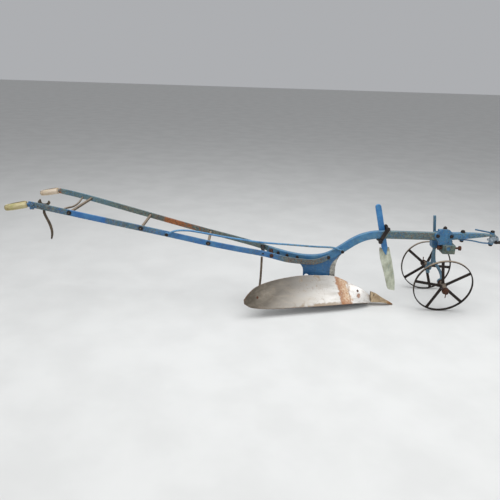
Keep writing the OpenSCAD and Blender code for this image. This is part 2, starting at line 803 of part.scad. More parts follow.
module coulter_blade() {
    y0 = stalk_y + (stalk_t - blade_t) / 2;
    color(light_blue)
    coulter_frame()
    intersection() {
        xz_plate(y0, y0 + blade_t)
            polygon([
                [-stalk_w / 2 - 0.1, -110.3], [-27, -101], [-33, -102], [-37, -114], [-40, -150],
                [-41, -185], [-37, -236], [-31, -290], [-27.5, -350], [-25, -405], [-21, -423],
                [-9, -432], [10, -441], [23, -447], [26.5, -440], [34, -392], [38, -334],
                [38.5, -270], [37.5, -214], [35, -165], [33, -128], [31.5, -112], [26, -107],
                [stalk_w / 2 + 0.1, -110.3], [5.2, -160.3], [3, -164.5], [-0.2, -161.3]]);
        // Sides that close to a knife edge in front
        translate([0, y0 + blade_t / 2, -480])
            linear_extrude(400)
            polygon([
                [-60, -blade_t / 2], [4, -blade_t / 2], [47, -1], [47, 1], [4, blade_t / 2],
                [-60, blade_t / 2]]);
    }
}

// Diagonal clamp: one bolt above the beam, one below it
clamp_bolt_at = [[343.5, beam_z + 44.5], [300.3, beam_z - 46.5]];
clamp_d = 16;
strap_y = stalk_y + stalk_t + gap;

// Outline of a bar with rounded ends from a to b
module round_ended(a, b, w) {
    lean = atan2(b[1] - a[1], b[0] - a[0]);
    polygon(concat(
        [for (k = [0 : 12]) b + w / 2 * [cos(lean - 90 + 15 * k), sin(lean - 90 + 15 * k)]],
        [for (k = [0 : 12]) a + w / 2 * [cos(lean + 90 + 15 * k), sin(lean + 90 + 15 * k)]]));
}

module clamp_bar(y0, y1, w) {
    difference() {
        xz_plate(y0, y1) round_ended(clamp_bolt_at[1], clamp_bolt_at[0], w);
        bolt_holes(clamp_bolt_at, y0 - 1, y1 + 1, clamp_d);
    }
}

module coulter_clamp_plate() {
    color(dark) clamp_bar(-beam_side - 9, -beam_side - 0.2, 27);
}

module coulter_clamp_strap() {
    color(dark) clamp_bar(strap_y, strap_y + 9, 27);
}

module coulter_clamp_bolts() {
    color(dark)
    for (b = clamp_bolt_at) {
        y_bolt(b[0], b[1], -beam_side - 9.1, strap_y + 9.1, clamp_d);
    }
}

// ---------------------------------------------------------------- wheel bracket

bracket_x = 736;
bridge_z = beam_z + 30;
post_x = 699;
post_y = 56;
post_tilt = 7;
post_mid_z = 476;
block_x = 775;
cross_bar_x = 767;
cross_bar_z = 454;
cross_bar_d = 28;
block_pin_at = [764, beam_z - 38];

module cheek_outline() {
    for (b = bracket_bolt_at) {
        translate(b) circle(r = 21);
    }
    polygon([
        [672, 549], [700, 574], [712, 584], [764, 584], [776, 574], [800, 547],
        [803, 530], [792, 508], [797, 476], [712, 476], [684, 512], [669, 530]]);
}

module bracket_near_cheek() {
    color(blue)
    difference() {
        union() {
            xz_plate(-beam_side - cheek_t, -beam_side - 0.2) cheek_outline();
            y_rod(752, 530, -beam_side - cheek_t - 2, -beam_side - 1, 11);
            // Raised rims that shroud the bolt heads, and a raised foot
            for (b = bracket_bolt_at) {
                y_rod(b[0], b[1], -beam_side - cheek_t - 5, -beam_side - 1, 21);
            }
            translate([697, -beam_side - cheek_t - 4, 476]) cube([96, 8, 22]);
            // Bridge over the top of the beam
            translate([bracket_x - 34, -beam_side - cheek_t, bridge_z])
                cube([68, 2 * beam_side + 2 * cheek_t, 15]);
            translate([bracket_x + 6, 0, bridge_z + 14]) cylinder(r = 19, h = 7);
        }
        for (b = bracket_bolt_at) {
            y_rod(b[0], b[1], -60, -beam_side - cheek_t, 15);
        }
        bolt_holes(bracket_bolt_at, -60, 0);
        y_rod(block_pin_at[0], block_pin_at[1], -60, 0, 7);
        translate([bracket_x + 6, 0, beam_z]) cylinder(r = 8, h = 80);
    }
}

module post_frame() {
    translate([post_x, post_y, post_mid_z]) rotate([0, -post_tilt, 0]) children();
}

module bracket_far_cheek() {
    color(blue)
    difference() {
        union() {
            intersection() {
                xz_plate(beam_side + 0.2, beam_side + cheek_t) cheek_outline();
                translate([600, 0, 400]) cube([300, 60, bridge_z - gap - 400]);
            }
            // Box that grips the furrow standard
            post_frame() translate([-27, -post_y + beam_side + 2, -36])
                cube([54, 60, 70]);
        }
        bolt_holes(bracket_bolt_at, 0, 60);
        y_rod(block_pin_at[0], block_pin_at[1], 0, 60, 7);
        post_frame() translate([0, 0, -60]) linear_extrude(130)
            square(standard_s + 2 * gap, center = true);
        post_frame() rotate([-90, 0, 0]) cylinder(r = 6, h = 60);
    }
}

module bracket_bolts() {
    color(dark) {
        for (b = bracket_bolt_at) {
            y_bolt(b[0], b[1], -beam_side - cheek_t - 0.1, beam_side + cheek_t + 0.1, bolt_d);
        }
        // Set bolt that nips the furrow standard in its box
        post_frame() {
            y0 = standard_s / 2 + 2 * gap;
            rotate([-90, 0, 0]) translate([0, 0, y0]) cylinder(r = 6, h = 24);
            rotate([-90, 0, 0]) translate([0, 0, 24]) nut_shape(13, 11);
        }
    }
}

module bracket_set_bolt() {
    color(dark) {
        translate([bracket_x + 6, 0, bridge_z - 0.5]) cylinder(r = 7.7, h = 35);
        translate([bracket_x + 6, 0, bridge_z + 21.4]) {
            cylinder(r = 14.8, h = 5);
            translate([0, 0, 5]) nut_shape(13.5, 10);
            translate([0, 0, 15]) cylinder(r1 = 9, r2 = 5, h = 5);
        }
    }
}

module cross_bar_block() {
    color(light_blue)
    difference() {
        union() {
            translate([block_x - 42, -45, 414]) cube([84, 90, 61]);
            translate([block_x - 36, -beam_side + 0.4, 470]) cube([62, 2 * beam_side - 0.8, 30]);
            y_rod(cross_bar_x, cross_bar_z, -53, 50, 20.5);
        }
        y_rod(cross_bar_x, cross_bar_z, -90, 90, cross_bar_d / 2 + fit_r);
        y_rod(block_pin_at[0], block_pin_at[1], -60, 60, 7);
        translate([600, set_bolt_y, 450]) rotate([0, 90, 0]) cylinder(r = 7, h = 400);
    }
}

module block_pin() {
    color(blue)
    y_rod(block_pin_at[0], block_pin_at[1], -beam_side - cheek_t - 1, beam_side + cheek_t + 1, 6.9);
}

// Set bolts that nip the cross bar from behind and from in front
set_bolt_y = -16;

module cross_bar_set_bolts() {
    color(rust) {
        translate([702, set_bolt_y, 450]) rotate([0, 90, 0]) {
            cylinder(r = 15, h = 12);
            cylinder(r = 6.9, h = cross_bar_x - 702 - 17);
            translate([0, 0, 20]) nut_shape(13, 9);
        }
        translate([864, set_bolt_y, 450]) rotate([0, -90, 0]) {
            cylinder(r = 16, h = 13);
            cylinder(r = 6.9, h = 864 - cross_bar_x - 17);
        }
    }
}

module cross_bar() {
    color(light_blue)
    difference() {
        y_rod(cross_bar_x, cross_bar_z, -50, land_post[1] + 38, cross_bar_d / 2);
        y_rod(cross_bar_x, cross_bar_z, -52, -47, 5);
    }
}

land_post = [734, 140];

module land_clamp() {
    color(blue)
    difference() {
        translate([land_post[0] - 20, land_post[1] - 18, cross_bar_z - 27]) cube([76, 42, 54]);
        y_rod(cross_bar_x, cross_bar_z, 100, 200, cross_bar_d / 2);
        translate([land_post[0], land_post[1], 400]) linear_extrude(100)
            square(standard_s + 2 * gap, center = true);
        y_rod(land_post[0], cross_bar_z, land_post[1], land_post[1] + 40, 6);
    }
}

module land_clamp_bolt() {
    color(dark) {
        y0 = land_post[1] + standard_s / 2 + 2 * gap;
        y_rod(land_post[0], cross_bar_z, y0, land_post[1] + 42, 5.9);
        translate([land_post[0], land_post[1] + 27, cross_bar_z])
            rotate([-90, 0, 0]) nut_shape(13, 11);
    }
}

// ---------------------------------------------------------------- wheels

furrow_hub = [745, -114,
    furrow_wheel_d / 2 * cos(furrow_lean) + rim_w / 2 * sin(furrow_lean)];
land_hub = [758, 330,
    land_wheel_d / 2 * cos(land_lean) + rim_w / 2 * sin(land_lean)];
nave_r = 18;
nave_cap_r = 24.5;
nave_out = 67;
nave_in = 40;
nave_flange_r = nave_r + 6;

// Wheel frames: the axle lies along local Y, and local +Y is the inner end
module furrow_frame() {
    translate(furrow_hub) rotate([furrow_lean, 0, 0]) children();
}
module land_frame() {
    translate(land_hub) rotate([-land_lean, 0, 0]) rotate([0, 0, 180]) children();
}

module tyre(d) {
    r = d / 2;
    w = rim_w / 2;
    rotate([90, 0, 0])
    rotate_extrude($fn = 96)
    polygon([
        [r - rim_t, -w + 1.5], [r - rim_t + 1.5, -w], [r - 3, -w], [r, -w + 3],
        [r, w - 3], [r - 3, w], [r - rim_t + 1.5, w], [r - rim_t, w - 1.5]]);
}

// Flat spokes, set by hand and so not quite evenly, let into the nave's flange and the tyre
furrow_spoke_at = [33, 101, 170.5, 246, 320];
land_spoke_at = [39, 111, 183.5, 254, 326];

module spoke_set(d, at) {
    difference() {
        intersection() {
            for (a = at) {
                rotate([0, -a, 0])
                    translate([0, -4.5, -spoke_w / 2]) cube([d / 2, 9, spoke_w]);
            }
            y_rod(0, 0, -10, 10, d / 2 - rim_t);
        }
        y_rod(0, 0, -20, 20, nave_flange_r);
    }
}

// Cast nave: a barrel with a flange where the spokes enter and a bead at each end
module nave() {
    rotate([90, 0, 0])
    rotate_extrude()
    polygon([
        [axle_d / 2 + fit_r, -nave_in], [nave_r - 2, -nave_in], [nave_r, -nave_in + 3],
        [nave_r, -15], [nave_flange_r, -10], [nave_flange_r, 10], [nave_r, 15],
        [nave_r - 0.5, nave_out - 17], [nave_cap_r, nave_out - 13], [nave_cap_r, nave_out - 2],
        [nave_cap_r - 2, nave_out], [axle_d / 2 + fit_r, nave_out]]);
}

// Axle: collar behind the nave, journal through it, cross hole for the linch pin
linch_y = nave_out + 12;
module axle() {
    difference() {
        union() {
            y_rod(0, 0, -nave_out - 22, nave_in + 26, axle_d / 2);
            y_rod(0, 0, nave_in + gap, nave_in + 12, axle_d / 2 + 8);
        }
        translate([0, -linch_y, -40]) cylinder(r = 3.75, h = 80);
    }
}

// Linch pin with its washer; tail is +1 for up and -1 for down
module linch(tail) {
    difference() {
        y_rod(0, 0, -linch_y + 4.5, -nave_out - gap, axle_d / 2 + 7);
        y_rod(0, 0, -linch_y, -nave_out, axle_d / 2 + fit_r);
    }
    translate([0, -linch_y, 0]) {
        translate([0, 0, tail > 0 ? -18 : -44]) cylinder(r = 3.5, h = 62);
        translate([0, 0, -tail * 20]) sphere(r = 6);
    }
}

module furrow_rim() {
    color(dark) furrow_frame() tyre(furrow_wheel_d);
}
module furrow_spokes() {
    color(dark) furrow_frame() spoke_set(furrow_wheel_d, furrow_spoke_at);
}
module furrow_nave() {
    color(rust) furrow_frame() nave();
}
module furrow_axle() {
    color(bare) furrow_frame() axle();
}
module furrow_linch_pin() {
    color(rust) furrow_frame() linch(-1);
}

module land_rim() {
    color(dark) land_frame() tyre(land_wheel_d);
}
module land_spokes() {
    color(dark) land_frame() spoke_set(land_wheel_d, land_spoke_at);
}
module land_nave() {
    color(rust) land_frame() nave();
}
module land_axle() {
    color(bare) land_frame() axle();
}
module land_linch_pin() {
    color(rust) land_frame() linch(1);
}

// Furrow standard: a square bar down through its box, bent under the beam to the axle
post_top = 186;
function post_point(h) = [
    post_x - h * sin(post_tilt), post_y, post_mid_z + h * cos(post_tilt), standard_s];
furrow_foot = furrow_hub + [0, (nave_in + 19) * cos(furrow_lean), (nave_in + 19) * sin(furrow_lean)];
furrow_bend = [
    post_point(post_top), post_point(80), post_point(0), post_point(-70), post_point(-118),
    [718, 46, 325, standard_s], [735, 29, 297, standard_s], [752, 13, 270, standard_s],
    [761, -6, 244, standard_s], [757, -32, 224, standard_s],
    [745, furrow_foot[1] + 3, furrow_foot[2] + 1, standard_s]];

module furrow_standard() {
    color(blue)
    difference() {
        union() {
            swept_bar(smooth(furrow_bend, 3), standard_s, 2.5, up = [1, 0, 0]);
            furrow_frame() y_rod(0, 0, nave_in + 12.2, nave_in + 26, 24);
        }
        furrow_frame() y_rod(0, 0, 0, nave_in + 26.2, axle_d / 2);
    }
}

land_foot = land_hub - [0, (nave_in + 19) * cos(land_lean), -(nave_in + 19) * sin(land_lean)];
land_bend = [
    [land_post[0], land_post[1], 505, standard_s], [land_post[0], land_post[1], 430, standard_s],
    [land_post[0], land_post[1], 350, standard_s], [land_post[0], land_post[1], 305, standard_s],
    [738, 160, 266, standard_s], [747, 205, 230, standard_s], [755, 245, 207, standard_s],
    [land_foot[0], land_foot[1] - 2, land_foot[2] + 1, standard_s]];

module land_standard() {
    color(blue)
    difference() {
        union() {
            swept_bar(smooth(land_bend, 3), standard_s, 2.5, up = [1, 0, 0]);
            land_frame() y_rod(0, 0, nave_in + 12.2, nave_in + 26, 24);
            land_frame() translate([-13, nave_in + 12.2, -42]) cube([26, 13.8, 84]);
        }
        land_frame() y_rod(0, 0, 0, nave_in + 26.2, axle_d / 2);
    }
}

// ---------------------------------------------------------------- hake

sleeve_z0 = brace_eye_z + brace_eye_t / 2 + gap;
sleeve_z1 = eye_z - eye_t / 2 - gap;
hake_t = 15;
hake_holes = [[1100, 533], [1107, 516], [1103, 499]];
hake_hole_d = 11;

module hake() {
    color(bare)
    difference() {
        union() {
            translate([hake_x, 0, sleeve_z0]) cylinder(r = 15, h = sleeve_z1 - sleeve_z0);
            xz_plate(-hake_t / 2, hake_t / 2) {
                polygon([
                    [hake_x, sleeve_z0], [1093, sleeve_z0], [1096, 487], [1107, 486],
                    [1115, 492], [1119, 502], [1121, 512], [1121, 521], [1117, 533],
                    [1110, 543], [1099, 546], [1095, sleeve_z1], [hake_x, sleeve_z1]]);
            }
            translate([hake_x - 27, 0, 516]) rotate([0, 90, 0]) cylinder(r = 7, h = 16);
        }
        translate([hake_x, 0, 470]) cylinder(d = pin_d, h = 90);
        for (h = hake_holes) {
            y_rod(h[0], h[1], -20, 20, hake_hole_d / 2);
        }
    }
}

module hake_pin() {
    color(dark) translate([hake_x, 0, 469]) cylinder(d = pin_d, h = 112);
}

arm_z = eye_z + eye_t / 2 + gap;
module hake_arm() {
    color(blue)
    difference() {
        translate([hake_x, 0, arm_z]) {
            cylinder(r = 15, h = 13);
            rotate([0, 0, 143]) translate([0, 0, 4.8])
                linear_extrude(8) round_ended([6, 0], [112, 0], 12);
        }
        translate([hake_x, 0, arm_z - 5]) cylinder(d = pin_d, h = 40);
    }
}

module hake_nuts() {
    color(dark)
    difference() {
        union() {
            translate([hake_x, 0, arm_z + 13]) nut_shape(15, 11);
            translate([hake_x, 0, brace_eye_z - brace_eye_t / 2 - gap])
                mirror([0, 0, 1]) nut_shape(15, 11);
        }
        translate([hake_x, 0, 440]) cylinder(d = pin_d, h = 160);
    }
}

// Draught link: two eyes beside the hake, joined by a bow in front
link_at = hake_holes[2];
link_pin_d = 10;
link_l = 38;
module draught_link() {
    color(dark)
    difference() {
        union() {
            for (side = [-1, 1]) {
                mirror([0, side < 0 ? 1 : 0, 0]) {
                    y_rod(link_at[0], link_at[1], hake_t / 2 + gap, hake_t / 2 + 8, 11);
                    translate([link_at[0], hake_t / 2 + gap, link_at[1] - 9])
                        cube([link_l, 7.7, 14]);
                }
            }
            translate([link_at[0] + link_l, -hake_t / 2 - 8, link_at[1] - 2]) rotate([-90, 0, 0])
                cylinder(r = 7, h = hake_t + 16);
        }
        y_rod(link_at[0], link_at[1], -40, 40, link_pin_d / 2 + fit_r);
    }
}

module draught_pin() {
    color(dark) {
        y_rod(link_at[0], link_at[1], -hake_t / 2 - 14, hake_t / 2 + 14, link_pin_d / 2);
        y_rod(link_at[0], link_at[1], -hake_t / 2 - 14, -hake_t / 2 - 8.3, 9);
        y_rod(link_at[0], link_at[1], hake_t / 2 + 8.3, hake_t / 2 + 12, 8);
    }
}

// ---------------------------------------------------------------- nodes

beam();
beam_brace();
beam_brace_bolt();
right_handle();
left_handle();
right_grip();
left_grip();
handle_stays();
handle_bow_stay();
stay_nuts();
handle_end_bolts();
handle_spacer();
spacer_bolt();
brace_rod();
handle_bolts();
spanner_clip();
spanner();
frog();
frog_bolts();
shin();
landside();
slade();
mouldboard();
mouldboard_stay();
mouldboard_bolts();
share();
share_point();
coulter_stalk();
coulter_blade();
coulter_clamp_plate();
coulter_clamp_strap();
coulter_clamp_bolts();
bracket_near_cheek();
bracket_far_cheek();
bracket_bolts();
bracket_set_bolt();
cross_bar_block();
block_pin();
cross_bar_set_bolts();
cross_bar();
land_clamp();
land_clamp_bolt();
furrow_standard();
furrow_axle();
furrow_linch_pin();
furrow_rim();
furrow_spokes();
furrow_nave();
land_standard();
land_axle();
land_linch_pin();
land_rim();
land_spokes();
land_nave();
hake();
hake_pin();
hake_arm();
hake_nuts();
draught_link();
draught_pin();
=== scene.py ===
import json
import math

import bmesh
import bpy
import numpy as np
from mathutils import Matrix, Vector, noise


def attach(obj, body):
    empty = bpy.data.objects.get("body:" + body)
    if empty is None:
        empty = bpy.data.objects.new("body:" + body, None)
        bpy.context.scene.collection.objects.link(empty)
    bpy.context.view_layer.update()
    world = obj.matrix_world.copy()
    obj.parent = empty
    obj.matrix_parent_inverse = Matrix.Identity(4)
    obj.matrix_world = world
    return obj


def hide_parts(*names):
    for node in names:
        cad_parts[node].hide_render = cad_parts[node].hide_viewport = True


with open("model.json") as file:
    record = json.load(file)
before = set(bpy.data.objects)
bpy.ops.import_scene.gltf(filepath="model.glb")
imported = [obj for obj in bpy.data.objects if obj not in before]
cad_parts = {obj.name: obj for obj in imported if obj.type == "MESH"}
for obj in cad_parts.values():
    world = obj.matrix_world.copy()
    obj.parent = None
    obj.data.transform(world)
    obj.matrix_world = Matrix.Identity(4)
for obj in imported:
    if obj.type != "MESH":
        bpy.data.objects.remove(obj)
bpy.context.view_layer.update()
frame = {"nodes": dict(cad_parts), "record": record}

# ------------------------------------------------------------------ frame data
MM = 0.001
record = frame["record"]
body_of = {n: b for b, ns in record["behaviour"]["bodies"].items() for n in ns}
slot_of = {s["node"]: s["material_slot"] for s in record["subparts"]}


# ------------------------------------------------------------------ materials
def srgb(r, g, b):
    """Colour given as 0-255 display values, as linear RGBA."""
    lin = [c / 255 / 12.92 if c <= 10 else ((c / 255 + 0.055) / 1.055) ** 2.4 for c in (r, g, b)]
    return (*lin, 1.0)


class Graph:
    """A node material with short ways to add the usual nodes."""

    def __init__(self, name):
        self.mat = bpy.data.materials.new(name)
        self.mat.use_nodes = True
        self.tree = self.mat.node_tree
        self.shader = next(n for n in self.tree.nodes if n.type == "BSDF_PRINCIPLED")
        self.coords = self.tree.nodes.new("ShaderNodeTexCoord").outputs["Object"]
        split = self.node("ShaderNodeSeparateXYZ", Vector=self.coords)
        self.x, self.y, self.z = split.outputs
        geometry = self.tree.nodes.new("ShaderNodeNewGeometry")
        self.normal = geometry.outputs["Normal"]

    def node(self, kind, props=None, **inputs):
        made = self.tree.nodes.new(kind)
        for key, value in (props or {}).items():
            setattr(made, key, value)
        for key, value in inputs.items():
            self.set(made.inputs[key.replace("_", " ")], value)
        return made

    def set(self, socket, value):
        if isinstance(value, bpy.types.NodeSocket):
            self.tree.links.new(value, socket)
        else:
            socket.default_value = value

    def math(self, op, a, b=0.0, clamp=False):
        made = self.node("ShaderNodeMath", {"operation": op, "use_clamp": clamp})
        self.set(made.inputs[0], a)
        self.set(made.inputs[1], b)
        return made.outputs[0]

    def mul(self, a, b):
        return self.math("MULTIPLY", a, b)

    def add(self, a, b):
        return self.math("ADD", a, b)

    def sub(self, a, b):
        return self.math("SUBTRACT", a, b)

    def most(self, a, b):
        return self.math("MAXIMUM", a, b)

    def noise(self, scale, detail=4.0, rough=0.55, stretch=None, shift=(0, 0, 0), warp=0.0):
        vector = self.coords
        if stretch or any(shift):
            vector = self.node("ShaderNodeMapping", Vector=vector, Scale=stretch or (1, 1, 1),
                    Location=shift).outputs[0]
        made = self.node("ShaderNodeTexNoise", Vector=vector, Scale=scale, Detail=detail,
                Roughness=rough, Distortion=warp)
        return made.outputs[0]

    def cells(self, scale, shift):
        vector = self.node("ShaderNodeMapping", Vector=self.coords, Location=shift).outputs[0]
        made = self.node("ShaderNodeTexVoronoi", {"feature": "F1"}, Vector=vector, Scale=scale)
        return made.outputs["Distance"]

    def step(self, value, low, high):
        """0 below low, 1 above high, smooth between."""
        made = self.node("ShaderNodeMapRange", {"interpolation_type": "SMOOTHSTEP"}, Value=value)
        made.inputs["From Min"].default_value = low
        made.inputs["From Max"].default_value = high
        return made.outputs[0]

    def mix(self, factor, a, b, mode="MIX"):
        made = self.node("ShaderNodeMix", {"data_type": "RGBA", "blend_type": mode})
        self.set(made.inputs[0], factor)
        self.set(made.inputs[6], a)
        self.set(made.inputs[7], b)
        return made.outputs[2]

    def over(self, base, mask, amount, colour):
        """base with colour laid over it where mask is 1, amount thick."""
        return self.mix(self.mul(mask, amount), base, srgb(*colour))

    def curve_x(self, stops):
        """A value that follows stops [(x in mm, value)] along the plough."""
        low, high = -2.2, 1.2
        made = self.node("ShaderNodeMapRange", Value=self.x)
        made.inputs["From Min"].default_value = low
        made.inputs["From Max"].default_value = high
        ramp = self.node("ShaderNodeValToRGB", Fac=made.outputs[0])
        points = ramp.color_ramp.elements
        while len(points) < len(stops):
            points.new(0.5)
        for point, (at, v) in zip(points, stops):
            point.position = (at * MM - low) / (high - low)
            point.color = (v, v, v, 1)
        return ramp.outputs[0]

    def edges(self, radius):
        """1 near sharp edges of the shape."""
        soft = self.node("ShaderNodeBevel", {"samples": 4}, Radius=radius).outputs[0]
        made = self.node("ShaderNodeVectorMath", {"operation": "DOT_PRODUCT"})
        self.set(made.inputs[0], soft)
        self.set(made.inputs[1], self.normal)
        return self.step(self.sub(1.0, made.outputs["Value"]), 0.02, 0.2)

    def upward(self):
        """1 on faces that look up."""
        split = self.node("ShaderNodeSeparateXYZ", Vector=self.normal)
        return self.step(split.outputs[2], 0.3, 0.95)

    def downward(self):
        """1 on faces that look down, where painted shade darkens them."""
        split = self.node("ShaderNodeSeparateXYZ", Vector=self.normal)
        return self.step(self.mul(split.outputs[2], -1.0), 0.2, 0.9)

    def bump(self, height, distance, strength=1.0):
        made = self.node("ShaderNodeBump", Height=height, Distance=distance, Strength=strength)
        self.set(self.shader.inputs["Normal"], made.outputs[0])

    def finish(self, colour, roughness, metallic=0.0, specular=0.5):
        self.set(self.shader.inputs["Base Color"], colour)
        self.set(self.shader.inputs["Roughness"], roughness)
        self.set(self.shader.inputs["Metallic"], metallic)
        self.shader.inputs["Specular IOR Level"].default_value = specular
        return self.mat


LICHEN = srgb(128, 132, 104)
PALE_BLUE = srgb(126, 164, 188)


def blue_paint(name, wear, rust=None, fresh=(40, 96, 150), faded=(62, 112, 148), dirt=0.5):
    """Old blue oil paint. wear and rust are stops [(x in mm, amount 0-1)] along the plough."""
    g = Graph(name)
    worn = g.curve_x(wear)
    patches = g.noise(14, 5, 0.6)
    base = g.mix(g.step(patches, 0.35, 0.65), srgb(*fresh), srgb(*faded))
    streak = g.noise(90, 8, 0.75, stretch=(0.5, 1, 1), shift=(3, 1, 7))
    pale = g.add(0.15, g.mul(worn, 0.3))
    base = g.mix(g.mul(g.step(streak, 0.5, 0.68), pale), base, PALE_BLUE)
    # Weathered film: grey-green blotches, most where the wear is high
    blotch = g.noise(90, 10, 0.8, shift=(5, 2, 9), warp=0.3)
    lift = g.add(blotch, g.mul(worn, 0.19))
    film = g.step(lift, 0.58, 0.65)
    tint = g.mix(g.step(g.noise(60, 6, 0.7, shift=(1, 8, 4)), 0.44, 0.66), srgb(74, 96, 92), LICHEN)
    base = g.mix(g.mul(film, 0.8), base, tint)
    # Chips down to dark rust, small and sharp
    chips = g.noise(150, 9, 0.8, shift=(2, 6, 1))
    chip_lift = g.add(chips, g.mul(worn, 0.12))
    edge = g.edges(0.0035)
    chip_lift = g.add(chip_lift, g.mul(edge, 0.11))
    chip = g.step(chip_lift, 0.64, 0.67)
    chip_colour = g.mix(g.step(g.noise(130, 4, 0.6), 0.42, 0.6), srgb(66, 50, 42), srgb(128, 92, 62))
    base = g.mix(chip, base, chip_colour)
    # Rubbed edges, paler
    rub = g.mul(edge, g.step(g.noise(90, 5, 0.7, shift=(9, 3, 3)), 0.44, 0.6))
    base = g.over(base, rub, 0.4, (148, 176, 188))
    rough = g.add(0.42, g.mul(film, 0.3))
    if rust:
        area = g.curve_x(rust)
        cover = g.add(g.noise(45, 8, 0.7, shift=(4, 4, 4)), g.mul(area, 0.5))
        red = g.step(cover, 0.72, 0.86)
        scale = g.mix(g.step(g.noise(120, 6, 0.7), 0.38, 0.66), srgb(164, 100, 56), srgb(98, 66, 48))
        base = g.mix(red, base, scale)
        rough = g.add(rough, g.mul(red, 0.25))
    # Dirt in broad smears; a painted sky highlight on faces that look up, and painted shade on faces that
    # look down
    grime = g.mul(g.step(g.noise(22, 6, 0.65, shift=(7, 7, 2)), 0.5, 0.75), dirt)
    base = g.mix(grime, base, srgb(52, 74, 88))
    base = g.over(base, g.upward(), 0.22, (140, 172, 190))
    # Painted shade: undersides darkened towards near-black
    base = g.over(base, g.downward(), 0.6, (14, 24, 34))
    height = g.sub(g.mul(g.noise(320, 4, 0.6), 0.25), g.add(chip, film))
    g.bump(height, 0.0007, 0.8)
    return g.finish(base, g.math("MINIMUM", rough, 0.95), 0.0, 0.45)


def iron(name, dark, light, rust, rust_amount=0.5, rough=0.62, metallic=0.35, dust_and_highlight=0.0):
    """Bare or oily iron with rust in its pits."""
    g = Graph(name)
    body = g.mix(g.step(g.noise(38, 6, 0.65), 0.34, 0.68), srgb(*dark), srgb(*light))
    bloom = g.noise(85, 8, 0.72, shift=(3, 5, 2), warp=0.3)
    low = 0.70 - 0.25 * rust_amount
    red = g.step(bloom, low, low + 0.1)
    rust_colour = g.mix(g.step(g.noise(150, 5, 0.7), 0.4, 0.62), srgb(*rust),
            srgb(*(int(c * 0.6) for c in rust)))
    body = g.mix(g.mul(red, 0.85), body, rust_colour)
    rubbed = g.mul(g.edges(0.0025), g.step(g.noise(120, 4, 0.7, shift=(1, 1, 9)), 0.45, 0.6))
    body = g.mix(g.mul(rubbed, 0.5), body, srgb(*(min(255, int(c * 1.7 + 24)) for c in light)))
    # Beige on faces that look up: dust, and a painted highlight where the top would catch the sky
    if dust_and_highlight:
        body = g.mix(g.mul(g.upward(), dust_and_highlight), body, srgb(176, 160, 140))
    roughness = g.math("ADD", rough, g.mul(red, 0.25), clamp=True)
    pits = g.add(g.noise(240, 5, 0.65), g.mul(red, 0.6))
    g.bump(pits, 0.0009, 0.7)
    shine = g.mul(g.sub(1.0, red), metallic)
    return g.finish(body, roughness, shine, 0.4)


